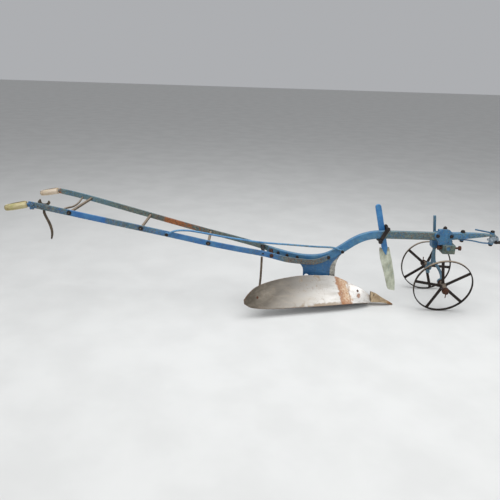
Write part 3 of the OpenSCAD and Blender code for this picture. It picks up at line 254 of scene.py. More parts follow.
def polished_steel():
    """Mouldboard and share: soil-polished steel, stained and dotted with rust; dark at the tail and near
    white at the front, partly duller polish and partly painted reflection of ground and sky.
    """
    g = Graph("soil_polished_steel")
    # Painted reflection with some real polish: dark brown-grey at the tail, where the board would reflect
    # the ground, to near white at the front, where it would reflect the sky
    sweep = g.curve_x([(-640, 0.0), (-560, 0.03), (-430, 0.08), (-320, 0.16), (-220, 0.3),
            (-130, 0.46), (-50, 0.66), (30, 0.84), (100, 1.0), (300, 1.0)])
    tone = g.mix(sweep, srgb(84, 76, 64), srgb(232, 229, 224))
    along = g.noise(26, 6, 0.6, stretch=(0.25, 1, 1.4), warp=0.3)
    tone = g.over(tone, g.step(along, 0.42, 0.7), 0.35, (150, 140, 126))
    # Brown stains, most on the middle of the board and along its lower edge
    where = g.curve_x([(-640, 0.25), (-420, 0.35), (-250, 0.6), (-120, 0.75), (-30, 0.45), (60, 0.3)])
    low_edge = g.mul(g.step(g.z, 0.078, 0.052), g.curve_x([(-640, 0.1), (-170, 0.1), (-130, 0.4),
            (60, 0.4), (100, 0.0)]))
    stain = g.add(g.noise(30, 8, 0.68, stretch=(1, 1, 0.7), shift=(4, 1, 1), warp=0.6),
            g.add(g.mul(where, 0.12), low_edge))
    brown = g.step(stain, 0.62, 0.80)
    tone = g.over(tone, brown, 0.7, (136, 112, 82))
    # Orange band beside the share joint, sharp in front and fading at the rear
    wave = g.mul(g.sub(g.noise(28, 5, 0.6, shift=(2, 2, 2)), 0.5), 0.09)
    slant = g.add(g.x, g.mul(g.sub(g.z, 0.115), 0.3))
    at = g.add(slant, wave)
    band = g.mul(g.step(at, 0.022, 0.042), g.step(at, 0.125, 0.100))
    orange = g.mix(g.step(g.noise(80, 7, 0.75, shift=(8, 0, 3)), 0.36, 0.60), srgb(166, 104, 50),
            srgb(204, 180, 150))
    deep = g.mix(g.step(at, 0.035, 0.078), srgb(152, 98, 52), orange)
    deep = g.over(deep, g.step(g.z, 0.075, 0.056), 0.7, (150, 92, 46))
    tone = g.mix(g.mul(band, 0.9), tone, deep)
    # Small dark pits of rust
    dots = g.step(g.cells(75, (0.2, 0.4, 0.1)), 0.17, 0.08)
    thin = g.step(g.noise(20, 3, 0.6, shift=(6, 3, 1)), 0.46, 0.58)
    pit = g.mul(dots, thin)
    fine = g.step(g.noise(260, 6, 0.75, shift=(3, 9, 5)), 0.66, 0.72)
    pit = g.most(pit, g.mul(fine, g.step(g.x, -0.2, 0.1)))
    tone = g.over(tone, pit, 0.85, (96, 62, 40))
    # Rust blotch below the share's bolt, and black chips in front of the joint
    off_x, off_z = g.sub(g.x, 0.181), g.sub(g.z, 0.084)
    away = g.math("SQRT", g.add(g.mul(off_x, off_x), g.mul(off_z, off_z)))
    away = g.add(away, g.mul(g.sub(g.noise(90, 5, 0.7), 0.5), 0.03))
    blotch = g.step(away, 0.017, 0.009)
    tone = g.over(tone, blotch, 0.85, (134, 84, 46))
    chipped = g.mul(g.step(g.noise(95, 8, 0.8, shift=(7, 1, 6)), 0.60, 0.64), g.step(g.x, 0.09, 0.12))
    tone = g.over(tone, chipped, 0.9, (40, 32, 28))
    pit = g.most(pit, g.most(chipped, blotch))
    # Rust burning in from the worn rims
    rim = g.add(g.mul(g.edges(0.006), 0.5), g.noise(70, 7, 0.7, shift=(5, 5, 8)))
    burnt = g.step(rim, 0.80, 0.92)
    tone = g.over(tone, burnt, 0.8, (122, 74, 42))
    blot = g.most(g.most(burnt, pit), g.most(band, brown))
    scratch = g.noise(300, 3, 0.6, stretch=(0.06, 1, 1), shift=(1, 2, 3))
    rough = g.add(g.add(0.30, g.mul(scratch, 0.16)), g.mul(blot, 0.35))
    height = g.add(g.mul(scratch, 0.3), g.mul(g.add(pit, brown), -0.5))
    g.bump(height, 0.0006, 0.6)
    return g.finish(tone, rough, g.mul(g.sub(1.0, blot), 0.55), 0.5)


def soiled_steel():
    """Share point and slade under dried soil, bare and rusty at the tip."""
    g = Graph("soil_crusted_steel")
    crust = g.mix(g.step(g.noise(34, 8, 0.7), 0.36, 0.66), srgb(142, 122, 96), srgb(182, 162, 132))
    holes = g.step(g.noise(120, 8, 0.75, shift=(3, 1, 1)), 0.56, 0.68)
    crust = g.over(crust, holes, 0.8, (84, 60, 42))
    tip = g.step(g.add(g.x, g.mul(g.noise(50, 4, 0.6), 0.05)), 0.415, 0.45)
    crust = g.over(crust, tip, 0.8, (178, 118, 58))
    # Painted shade: the lowest 30 mm darkened to dark brown, where the underside lies in shadow
    foot = g.mul(g.step(g.z, 0.03, 0.006), 0.7)
    crust = g.mix(foot, crust, srgb(66, 50, 38))
    worn = g.mul(g.edges(0.004), 0.35)
    crust = g.mix(worn, crust, srgb(206, 194, 176))
    g.bump(g.sub(g.noise(90, 8, 0.7), holes), 0.0016, 0.9)
    return g.finish(crust, 0.82, 0.1, 0.3)


def pale_paint():
    """Coulter blade: thin grey-green paint and lichen over forged steel."""
    g = Graph("weathered_pale_paint")
    coat = g.mix(g.step(g.noise(26, 7, 0.65, stretch=(1, 1, 0.5)), 0.35, 0.68), srgb(150, 154, 136),
            srgb(196, 200, 182))
    blue = g.step(g.noise(34, 5, 0.6, shift=(4, 0, 2)), 0.55, 0.72)
    coat = g.over(coat, blue, 0.45, (128, 158, 160))
    scab = g.step(g.noise(140, 8, 0.75, shift=(1, 5, 0)), 0.58, 0.68)
    coat = g.over(coat, scab, 0.7, (104, 98, 76))
    shoulder = g.step(g.add(g.z, g.mul(g.noise(70, 4, 0.6), 0.02)), 0.398, 0.425)
    coat = g.over(coat, shoulder, 0.55, (112, 96, 70))
    edge = g.mul(g.edges(0.004), g.step(g.noise(60, 5, 0.7, shift=(2, 2, 6)), 0.4, 0.6))
    coat = g.over(coat, edge, 0.7, (92, 84, 62))
    g.bump(g.sub(g.noise(110, 6, 0.7), scab), 0.0012, 0.8)
    return g.finish(coat, 0.7, 0.0, 0.35)


def wood(name, light, dark, lichen):
    """Weathered ash grip, grain along its own Z, with splits and knots."""
    g = Graph(name)
    grain = g.noise(46, 7, 0.62, stretch=(1, 1, 0.09), warp=0.35)
    fibre = g.noise(300, 4, 0.6, stretch=(1, 1, 0.05), shift=(2, 0, 1))
    colour = g.mix(g.step(grain, 0.34, 0.68), srgb(*light), srgb(*dark))
    colour = g.over(colour, g.step(fibre, 0.5, 0.72), 0.4, (138, 124, 98))
    knot = g.step(g.cells(16, (0.31, 0.12, 0.4)), 0.16, 0.06)
    colour = g.over(colour, knot, 0.8, (104, 72, 46))
    green = g.step(g.noise(24, 6, 0.65, shift=(3, 3, 3)), 0.46, 0.7)
    colour = g.mix(g.mul(green, 0.55), colour, srgb(*lichen))
    ends = g.most(g.step(g.z, 0.012, 0.002), g.step(g.z, 0.128, 0.140))
    colour = g.over(colour, ends, 0.5, (120, 100, 66))
    split = g.step(g.noise(60, 3, 0.5, stretch=(1, 1, 0.06), shift=(6, 1, 0)), 0.665, 0.70)
    colour = g.over(colour, split, 0.85, (62, 48, 36))
    g.bump(g.sub(g.mul(fibre, 0.5), g.add(split, knot)), 0.0012, 0.8)
    return g.finish(colour, 0.78, 0.0, 0.3)


PAINT = {
    "handle_right": blue_paint("blue_paint_right_handle", [
        (-2010, 0.35), (-1960, 0.9), (-1880, 1.0), (-1860, 0.9), (-1770, 0.7), (-1735, 0.0),
        (-1548, 0.0), (-1530, 0.8), (-1300, 0.75), (-1160, 0.4), (-1100, 0.15), (-700, 0.3),
        (-560, 0.5), (-470, 0.2), (-400, 0.6), (-340, 1.25), (-120, 1.25), (-40, 0.7)],
        fresh=(36, 92, 150), faded=(58, 112, 158)),
    "handle_left": blue_paint("blue_paint_left_handle", [
        (-2000, 0.8), (-1900, 0.7), (-1760, 0.4), (-1620, 0.7), (-1500, 1.1), (-1350, 1.0),
        (-1250, 1.3), (-930, 1.3), (-700, 1.0), (-520, 0.8), (-240, 0.5)],
        rust=[(-2100, 0.7), (-1980, 0.7), (-1950, 0.1), (-1330, 0.0), (-1230, 0.15), (-1198, 1.0),
        (-1120, 0.95), (-1080, 0.6), (-960, 0.5), (-900, 0.15), (-860, 0.0)],
        fresh=(60, 104, 130), faded=(98, 124, 132)),
    "beam": blue_paint("blue_paint_beam", [
        (-480, 0.7), (-400, 0.35), (-200, 0.2), (0, 0.08), (200, 0.18), (300, 0.35), (330, 0.8),
        (620, 1.1), (680, 1.0), (760, 0.3), (900, 0.5), (1060, 0.9)], fresh=(38, 98, 146),
        faded=(66, 116, 148)),
    "clean": blue_paint("blue_paint_clean", [(-2200, 0.02), (1200, 0.02)], fresh=(38, 100, 156),
        faded=(58, 122, 172), dirt=0.25),
    "frog": blue_paint("blue_paint_frog", [(-400, 0.15), (400, 0.25)], fresh=(28, 80, 126),
        faded=(40, 94, 138), dirt=0.75),
    "casting": blue_paint("blue_paint_castings", [(600, 0.25), (1200, 0.4)], fresh=(32, 88, 136),
        faded=(54, 108, 144), dirt=0.6),
    "block": blue_paint("blue_green_paint_block", [(600, 0.8), (1000, 0.9)], fresh=(44, 74, 82),
        faded=(68, 98, 98), dirt=0.9),
    "rod": blue_paint("blue_paint_rod", [(-1200, 0.3), (-600, 0.2), (-200, 0.6), (50, 0.5)],
        fresh=(44, 104, 156), faded=(76, 134, 176), dirt=0.3),
    "posts": blue_paint("blue_paint_posts", [(600, 0.35), (1000, 0.5)], fresh=(48, 88, 116),
        faded=(70, 108, 130), dirt=0.6),
}
# The stay, tread and barrel take beige on their upward faces: dust and a painted top highlight
METAL = {
    "black": iron("oily_black_iron", (30, 26, 26), (52, 44, 40), (84, 58, 40), 0.35, 0.5),
    "nuts": iron("brown_iron_nuts", (28, 22, 20), (50, 41, 36), (66, 44, 32), 0.5, 0.62),
    "spanner": iron("brown_forged_spanner", (58, 50, 42), (98, 86, 70), (104, 78, 52), 0.6, 0.6),
    "stay": iron("bare_brown_rod", (64, 54, 46), (112, 98, 82), (92, 62, 42), 0.6, 0.6, dust_and_highlight=0.5),
    "bolts": iron("rusty_bolts", (60, 36, 28), (88, 58, 42), (104, 58, 34), 0.9, 0.75),
    "wheel": iron("black_brown_wheel_iron", (22, 16, 14), (44, 33, 26), (74, 48, 32), 0.4, 0.62),
    "tread": iron("worn_wheel_tread", (30, 23, 18), (70, 58, 46), (66, 44, 30), 0.5, 0.6, dust_and_highlight=0.6),
    "hub": iron("rusty_cast_hub", (48, 30, 24), (72, 46, 34), (86, 48, 28), 0.8, 0.75),
    "barrel": iron("dark_cast_barrel", (34, 27, 26), (58, 48, 46), (70, 44, 32), 0.4, 0.55, dust_and_highlight=0.35),
    "grey": iron("worn_grey_casting", (96, 112, 122), (156, 168, 178), (104, 76, 54), 0.5, 0.6,
        metallic=0.2),
    "shin": iron("scoured_shin_steel", (120, 118, 112), (188, 186, 178), (128, 104, 78), 0.35, 0.4,
        metallic=0.6),
    "steel": polished_steel(),
    "soil": soiled_steel(),
    "blade": pale_paint(),
}
GRIP_RIGHT = wood("weathered_grip_right", (206, 198, 158), (164, 150, 108), (150, 150, 92))
GRIP_LEFT = wood("weathered_grip_left", (222, 208, 192), (184, 164, 140), (196, 184, 158))


# ------------------------------------------------------------------ mesh helpers
def vec(p):
    return np.array(p[:3], float)


def unit(v):
    return np.array(v, float) / np.linalg.norm(v)


def smooth(stations, spacing):
    """Smooth curve through the stations, the same as the CAD's, about spacing mm from point to point."""
    s = [np.array(p, float) for p in stations]

    def slope(i):
        a, b = s[max(i - 1, 0)], s[min(i + 1, len(s) - 1)]
        return (b - a) / (np.linalg.norm(s[i] - a) + np.linalg.norm(b - s[i]))

    path = []
    for i in range(len(s) - 1):
        length = np.linalg.norm(s[i + 1] - s[i])
        steps = max(2, int(math.ceil(length / spacing)))
        for k in range(steps):
            t = k / steps
            u = 1 - t
            path.append(s[i] * (1 + 2 * t) * u * u + s[i + 1] * t * t * (3 - 2 * t)
                    + (slope(i) * u - slope(i + 1) * t) * length * t * u)
    return path + [s[-1]]


def rounded_rect(w, d, r, flat=(2, 5), arc=4):
    """Section corners with rounded edges; w lies across, d upright."""
    r = min(r, w * 0.49, d * 0.49)
    points = []
    for cx, cy, a0 in ((1, 1, 0), (-1, 1, 90), (-1, -1, 180), (1, -1, 270)):
        for k in range(arc + 1):
            a = math.radians(a0 + 90 * k / arc)
            points.append((cx * (w / 2 - r) + r * math.cos(a), cy * (d / 2 - r) + r * math.sin(a)))
        count = flat[0] if a0 in (0, 180) else flat[1]
        nx, ny = {0: (-1, 1), 90: (-1, -1), 180: (1, -1), 270: (1, 1)}[a0]
        end = (nx * (w / 2 - r) + (0 if a0 in (0, 180) else nx * r),
               ny * (d / 2 - r) + (ny * r if a0 in (0, 180) else 0))
        start = points[-1]
        for k in range(1, count + 1):
            t = k / (count + 1)
            points.append((start[0] + (end[0] - start[0]) * t, start[1] + (end[1] - start[1]) * t))
    return np.array(points)


def turned(m, r, a, h):
    """Point at radius r, angle a and height h in the frame m."""
    return np.array((m @ Vector((r * math.cos(a), r * math.sin(a), h)))[:])


def circle(r, n):
    return np.array([(r * math.cos(2 * math.pi * k / n), r * math.sin(2 * math.pi * k / n))
            for k in range(n)])


class Shape:
    """Gathers closed bodies, in mm, into one mesh."""

    def __init__(self):
        self.verts, self.faces, self.mats = [], [], []

    def rings(self, rings, mat=0, mats=None, closed=False):
        """Closed body through rings with equal counts. A closed loop of rings has no ends."""
        n, m, base = len(rings[0]), len(rings), len(self.verts)
        for ring in rings:
            self.verts.extend(ring)
        for i in range(m if closed else m - 1):
            j = (i + 1) % m
            for k in range(n):
                q = (k + 1) % n
                self.faces.append((base + i * n + k, base + i * n + q, base + j * n + q, base + j * n + k))
                self.mats.append(mats[i] if mats else mat)
        if not closed:
            for start, flip in ((0, True), ((m - 1) * n, False)):
                centre = len(self.verts)
                self.verts.append(np.mean(rings[0 if flip else -1], axis=0))
                for k in range(n):
                    a, b = base + start + k, base + start + (k + 1) % n
                    self.faces.append((b, a, centre) if flip else (a, b, centre))
                    self.mats.append(mats[0 if flip else -1] if mats else mat)
        return self

    def sweep(self, path, section, up=(0, 0, 1), cap=2.0):
        """section(i, inset) gives 2D points at path point i; the ends are rounded by cap."""
        path = [np.array(p, float) for p in path]
        up = np.array(up, float)

        def directed(i):
            return unit(path[min(i + 1, len(path) - 1)][:3] - path[max(i - 1, 0)][:3])

        def ring(p, along, depth_i, inset):
            side = unit(np.cross(up, along))
            rise = np.cross(along, side)
            return [p[:3] + side * c[0] + rise * c[1] for c in section(depth_i, inset)]

        rings = []
        first, final = directed(0), directed(len(path) - 1)
        turns = [math.radians(a) for a in (90, 65, 40, 18)] if cap else []
        for a in turns:
            back = cap * (1 - math.sin(a))
            rings.append(ring(path[0][:3] + first * back, first, 0, cap * (1 - math.cos(a))))
        for i, p in enumerate(path):
            if cap and min(np.linalg.norm(p[:3] - path[e][:3]) for e in (0, -1)) < cap:
                continue
            rings.append(ring(p, directed(i), i, 0))
        for a in reversed(turns):
            rings.append(ring(path[-1][:3] - final * cap * (1 - math.sin(a)), final, len(path) - 1,
                    cap * (1 - math.cos(a))))
        return self.rings(rings)

    def bar(self, stations, w, r, spacing=7, up=(0, 0, 1), cap=2.0, flat=(2, 5)):
        path = smooth(stations, spacing)
        return self.sweep(path, lambda i, inset: rounded_rect(
            w - 2 * inset, path[i][3] - 2 * inset, max(r - inset * 0.5, 0.4), flat), up, cap)

    def rod(self, stations, d, spacing=6, up=(0, 0, 1), cap=1.5, n=20):
        path = smooth(stations, spacing) if len(stations) > 2 else [
            np.array(stations[0], float) + (np.array(stations[1], float) - stations[0]) * k / 24
            for k in range(25)]
        return self.sweep(path, lambda i, inset: circle(d / 2 - inset, n), up, cap)

    def lathe(self, at, axis, profile, n=40, hole=False, mat=0, mats=None):
        """Turned body from profile [(radius, height)] about axis; with a hole the profile is a loop."""
        m = along(at, axis)
        rings = []
        for r, h in profile:
            turn = [2 * math.pi * k / n for k in range(n)]
            rings.append([turned(m, r, a, h) for a in turn])
        return self.rings(rings, mat, mats, closed=hole)

    def eye(self, at, axis, half, t, n=36):
        """Ring of thickness t; half is its profile up to mid thickness."""
        return self.lathe(at, axis, half + [(r, t - h) for r, h in reversed(half)], n, hole=True)

    def hex(self, at, axis, r, h, spin=0, hole=0.0):
        """Nut or bolt head, r across its corners, chamfered at both ends."""
        flat = r * math.cos(math.radians(30))
        n = 48
        m = along(at, axis)
        rings = []
        levels = [(0.0, flat * 0.98), (0.06, r * 0.985), (0.16, r), (0.62, r), (0.80, r * 0.955),
                (0.93, flat * 0.99), (1.0, flat * 0.88)]
        if hole:
            levels = [(0.0, hole)] + levels + [(1.0, hole * 1.12), (0.93, hole)]
        for t, limit in levels:
            ring = []
            for k in range(n):
                a = 360 * k / n
                edge = flat / math.cos(math.radians((a % 60) - 30))
                q = min(edge, limit, r * 0.985)
                ring.append(turned(m, q, math.radians(a + spin), h * t))
            rings.append(ring)
        return self.rings(rings, closed=bool(hole))

    def thread(self, at, axis, d, length):
        """Screw end: a helical ridge with a rounded tip."""
        pitch = max(1.4, d * 0.14)
        m = along(at, axis)
        n, rings = 24, []
        steps = max(6, int(length / (pitch / 5)))
        for i in range(steps + 1):
            z = length * i / steps
            fade = min(1.0, (length - z) / (0.12 * d))
            ring = []
            for k in range(n):
                wave = abs(((z / pitch - k / n) % 1) * 2 - 1)
                q = (d / 2 - 0.55 * pitch * (1 - wave)) * (0.8 + 0.2 * fade)
                ring.append(turned(m, q, 2 * math.pi * k / n, z))
            rings.append(ring)
        return self.rings(rings)

    def washer(self, at, axis, r, t, hole):
        e = min(0.5, t * 0.3)
        return self.lathe(at, axis, [(hole, 0), (r - e, 0), (r, e), (r, t - e), (r - e, t), (hole, t)],
                36, hole=True)

    def round_box(self, centre, size, r):
        """Box with rounded edges; size is along X, Y, Z."""
        x, y, z = size
        r = min(r, 0.45 * min(size))
        rings = []
        for side in (-1, 1):
            order = (90, 60, 30, 0) if side < 0 else (0, 30, 60, 90)
            for a in order:
                a = math.radians(a)
                h = side * (z / 2 - r + r * math.sin(a))
                grow = r * (1 - math.cos(a))
                ring = rounded_rect(x - 2 * grow, y - 2 * grow, max(r - grow, 0.3), (3, 3))
                rings.append([np.array((c[0], c[1], h)) + centre for c in ring])
        return self.rings(rings)

    def bolt_y(self, x, z, y0, y1, d):
        """Bolt across the plough: head at y0, nut and screw end at y1."""
        self.hex((x, y0, z), (0, -1, 0), d, d * 0.65, 15)
        self.lathe((x, y0 - 0.4, z), (0, 1, 0), [(d / 2, 0), (d / 2, y1 - y0 + 1)], 24)
        self.hex((x, y1, z), (0, 1, 0), d, d * 0.75, 10)
        self.thread((x, y1 + d * 0.5, z), (0, 1, 0), d, d * 0.45)
        return self

    def make(self, name, body, slot, mats, replaces, rough=0.0, rough_scale=0.03, seed=0.0, matrix=None):
        """The finished piece, in metres, riding on its body."""
        mesh = bpy.data.meshes.new(name)
        co = np.array(self.verts, float) * MM
        mesh.from_pydata(co.tolist(), [], [tuple(f) for f in self.faces])
        for m in mats:
            mesh.materials.append(m)
        mesh.polygons.foreach_set("material_index", self.mats)
        bm = bmesh.new()
        bm.from_mesh(mesh)
        bmesh.ops.remove_doubles(bm, verts=bm.verts, dist=1e-6)
        bmesh.ops.recalc_face_normals(bm, faces=bm.faces)
        if rough:
            bm.normal_update()
            shift = Vector((seed, seed * 0.37, seed * 1.7))
            for v in bm.verts:
                p = v.co / rough_scale + shift
                amount = noise.noise(p) + 0.5 * noise.noise(p * 2.7) + 0.25 * noise.noise(p * 6.1)
                v.co += v.normal * amount * rough * MM
        bm.to_mesh(mesh)
        bm.free()
        return place(name, mesh, body, replaces, matrix)


def place(name, mesh, body, replaces, matrix=None, sharp=35):
    mesh.shade_smooth()
    mesh.set_sharp_from_angle(angle=math.radians(sharp))
    obj = bpy.data.objects.new(name, mesh)
    bpy.context.scene.collection.objects.link(obj)
    if matrix:
        obj.matrix_world = matrix
    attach(obj, body)
    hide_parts(*replaces)
    return obj


def along(at, axis):
    """Local Z along axis, turned as the CAD turns it."""
    d = unit(axis)
    return (Matrix.Translation(Vector(at)) @ Matrix.Rotation(math.atan2(d[1], d[0]), 4, "Z")
            @ Matrix.Rotation(math.acos(max(-1, min(1, d[2]))), 4, "Y"))


def soften(node, material, width):
    """The CAD node's own shape with its edges rounded, as a piece that stands for it."""
    source = frame["nodes"][node]
    bm = bmesh.new()
    bm.from_mesh(source.data)
    bmesh.ops.remove_doubles(bm, verts=bm.verts, dist=3e-5)
    bmesh.ops.dissolve_limit(bm, angle_limit=math.radians(2), verts=bm.verts, edges=bm.edges)
    bmesh.ops.dissolve_degenerate(bm, edges=bm.edges, dist=2e-5)
    bm.normal_update()
    sharp = [e for e in bm.edges if len(e.link_faces) == 2 and e.calc_face_angle(0) > math.radians(25)]
    bmesh.ops.bevel(bm, geom=sharp, offset=width * MM, offset_type="OFFSET", segments=3,
            profile=0.5, affect="EDGES", clamp_overlap=True)
    bmesh.ops.triangulate(bm, faces=[f for f in bm.faces if len(f.verts) > 4], quad_method="BEAUTY",
            ngon_method="BEAUTY")
    bmesh.ops.dissolve_degenerate(bm, edges=bm.edges, dist=1e-6)
    bmesh.ops.recalc_face_normals(bm, faces=bm.faces)
    mesh = bpy.data.meshes.new(node + "_piece")
    bm.to_mesh(mesh)
    bm.free()
    mesh.materials.append(material)
    obj = place(node + "_piece", mesh, body_of[node], [node], sharp=40)
    weighted = obj.modifiers.new("even_normals", "WEIGHTED_NORMAL")
    weighted.keep_sharp = True


# ------------------------------------------------------------------ main dimensions, mm
beam_z, beam_w, beam_d = 529, 30, 54
beam_side = beam_w / 2
handle_d, handle_t = 38, 11
grip_d, grip_l, tang_d = 47, 140, 14
hake_x = 1072
eye_z = beam_z + 20

# ------------------------------------------------------------------ beam
beam_line = [
    [-478, 0, beam_z - 131, 44], [-402, 0, beam_z - 154, 44], [-338, 0, beam_z - 170, 45],
    [-268, 0, beam_z - 183, 46], [-190, 0, beam_z - 190, 48], [-120, 0, beam_z - 187, 50],
    [-60, 0, beam_z - 173, 52], [0, 0, beam_z - 143, 54], [60, 0, beam_z - 101, 55],
    [120, 0, beam_z - 58, 55], [180, 0, beam_z - 26, 54], [240, 0, beam_z - 8, beam_d],
    [300, 0, beam_z - 1, beam_d], [420, 0, beam_z, beam_d], [570, 0, beam_z, beam_d],
    [700, 0, beam_z, beam_d], [800, 0, beam_z + 4, beam_d - 4],
    [900, 0, beam_z + 11, 42], [1000, 0, beam_z + 17, 26], [1058, 0, beam_z + 20, 12]]
s = Shape()
s.bar(beam_line, beam_w, 4.5, spacing=8, flat=(5, 8), cap=2.5)
s.eye((hake_x, 0, eye_z - 6), (0, 0, 1), [(8.1, 1), (9.1, 0), (19, 0), (20.5, 0.8), (21, 2.5)], 12, 48)
s.make("beam_bar", "plough_frame", "blue_paint", [PAINT["beam"]], ["beam"], rough=0.35,
        rough_scale=0.04)

brace_mid_z = beam_z - 17 - 3.5 - 0.3
brace_bolt_x = 868
s = Shape()
s.bar([[845, 0, brace_mid_z, 7], [895, 0, brace_mid_z, 7], [955, 0, 501, 7], [1008, 0, 491, 7],
       [1054, 0, 488, 7]], 16, 2.2, spacing=7, flat=(4, 2), cap=1.5)
s.eye((brace_bolt_x, 0, brace_mid_z - 3.5), (0, 0, 1), [(7.1, 0.8), (8, 0), (12, 0), (13, 1)], 7)
s.eye((hake_x, 0, 483), (0, 0, 1), [(8.1, 0.8), (8.9, 0), (16.5, 0), (17.7, 0.7), (18, 2)], 10, 44)
s.make("beam_brace_bar", "plough_frame", "blue_paint", [PAINT["casting"]], ["beam_brace"], rough=0.2)

# ------------------------------------------------------------------ handles
right_line = [
    [-2008, -289, 746.5, 36], [-1950, -282.5, 734, handle_d], [-1900, -277, 722, handle_d],
    [-1144, -194, 545, handle_d], [-879, -165, 481, handle_d], [-700, -144, 442, handle_d],
    [-518, -121, 405, handle_d], [-451, -108, 386, handle_d], [-357, -84, 355, handle_d],
    [-290, -62, 338, handle_d], [-240, -44, 328, handle_d], [-190, -35, 321, handle_d],
    [-150, -30.5, 321, handle_d], [-110, -25, 329, handle_d], [-72, -21.5, 344, 38],
    [-38, -21.5, 361, 30]]
left_line = [
    [-1984, 222, 713.5, 36], [-1900, 211.5, 700, handle_d], [-1753, 194, 672, handle_d],
    [-1323, 143, 576, handle_d], [-961, 99, 496, handle_d], [-720, 70, 447, handle_d],
    [-580, 46, 419, handle_d], [-510, 30, 404, handle_d], [-470, 22.5, 394, handle_d],
    [-402, 21.5, 375, handle_d], [-338, 21.5, 359, handle_d], [-268, 21.5, 346, handle_d],
    [-236, 21.5, 342, handle_d]]


def on_line(a, b, x):
    a, b = np.array(a, float), np.array(b, float)
    return a + (b - a) * (x - a[0]) / (b[0] - a[0])


def right_at(x):
    i = 2 if x < -1144 else 3
    return on_line(right_line[i], right_line[i + 1], x) if x < -879 else on_line(
        right_line[4], right_line[6], x)


def left_at(x):
    i = 2 if x < -1323 else 3 if x < -961 else 4
    return on_line(left_line[i], left_line[i + 1], x)


right_grip_from, right_grip_dir = vec([-2014, -289.5, 745]), unit([-154, -18, -29])
left_grip_from, left_grip_dir = vec([-1992, 224, 713]), unit([-138, 16, -28])
for side, line, start, way, paint in (
        ("right", right_line, right_grip_from, right_grip_dir, "handle_right"),
        ("left", left_line, left_grip_from, left_grip_dir, "handle_left")):
    s = Shape()
    s.bar(line, handle_t, 2.4, spacing=8, flat=(2, 6), cap=2.0)
    s.rod([start - way * 18, start + way * grip_l * 0.75], tang_d - 0.4, n=20)
    s.make(side + "_handle_bar", "plough_frame", "blue_paint", [PAINT[paint]], [side + "_handle"],
            rough=0.35, rough_scale=0.03, seed=3 if side == "left" else 1)


def grip(name, start, way, material, node, seed):
    """Turned wooden grip, bored for its tang, worn out of round, with a hole in its rear end."""
    r = grip_d / 2
    profile = [(7.1, 2), (8.5, 0.3), (r * 0.72, 0), (r * 0.80, 0.6), (r * 0.86, 2.4)]
    stops = [(0.90, 5), (0.95, 8), (0.985, 14), (1.0, 30), (0.985, 60), (0.955, 88), (0.91, 112),
            (0.86, 126), (0.77, 134)]
    for h in np.linspace(5, 134, 36):
        k = max(i for i in range(len(stops) - 1) if stops[i][1] <= h)
        t = (h - stops[k][1]) / (stops[k + 1][1] - stops[k][1])
        profile.append((r * (stops[k][0] + (stops[k + 1][0] - stops[k][0]) * t), h))
    profile += [(r * 0.70, 136.5), (r * 0.6, 138.5), (r * 0.5, grip_l - 0.3),
            (r * 0.40, grip_l), (4.6, grip_l), (3.6, grip_l - 3), (3.2, grip_l - 16),
            (0.6, grip_l - 17), (0.6, grip_l * 0.75 + 1), (7.1, grip_l * 0.75 + 1)]
    shape = Shape()
    n = 64
    rings = []
    for q, h in profile:
        ring = []
        for k in range(n):
            a = 2 * math.pi * k / n
            p = Vector((math.cos(a) * 1.3, math.sin(a) * 1.3, h / 38 + seed))
            worn = 1.0
            if q > r * 0.55:
                fine = Vector((p.x * 9, p.y * 9, h / 60))
                worn += 0.018 * noise.noise(p) - 0.004 * abs(noise.noise(fine))
            ring.append(np.array([q * worn * math.cos(a), q * worn * math.sin(a), h]))
        rings.append(ring)
    shape.rings(rings, closed=True)
    m = along(start, way)
    m.translation = m.translation * MM
    return shape.make(name, "plough_frame", "pale_wood", [material], [node], matrix=m)


grip("right_wooden_grip", right_grip_from, right_grip_dir, GRIP_RIGHT, "right_grip", 2.0)
grip("left_wooden_grip", left_grip_from, left_grip_dir, GRIP_LEFT, "left_grip", 9.0)

# Stays between the handles, with screwed tenons and nuts outside both bars
stay_x = [(-1761, -1748), (-1317, -1317), (-880, -883)]
seat = handle_t / 2 + 2.4
stays, nuts = Shape(), Shape()
for xr, xl in stay_x:
    a, b = vec(right_at(xr)), vec(left_at(xl))
    way = unit(b - a)
    length = np.linalg.norm(b - a)
    stays.lathe(a + way * seat, way, [(9.0, 0), (9.5, 0.6), (9.5, 9), (9.4, 12), (9.4, length / 2 - seat),
            (9.4, length - 2 * seat - 12), (9.5, length - 2 * seat - 9), (9.5, length - 2 * seat - 0.6),
            (9.0, length - 2 * seat)], 32)
    stays.lathe(a - way * (seat + 1), way, [(4.9, 0), (4.9, length + 2 * seat + 2)], 20)
    for end, out in ((a - way * seat, -way), (b + way * seat, way)):
        nuts.washer(end, out, 15, 2, 5.2)
        nuts.hex(end + out * 2, out, 13, 9, 12, hole=5.05)
        nuts.eye(end - out * 0.3, -out, [(9.7, 0.8), (10.5, 0), (13, 0), (14, 1)], 9, 32)
        stays.thread(end + out * 1, out, 10, 12)
stays.make("stay_bars", "plough_frame", "bare_rusty", [METAL["stay"]], ["handle_stays"], rough=0.25)
nuts.make("stay_end_nuts", "plough_frame", "dark_iron", [METAL["black"]], ["stay_nuts"], rough=0.12,
        rough_scale=0.008)

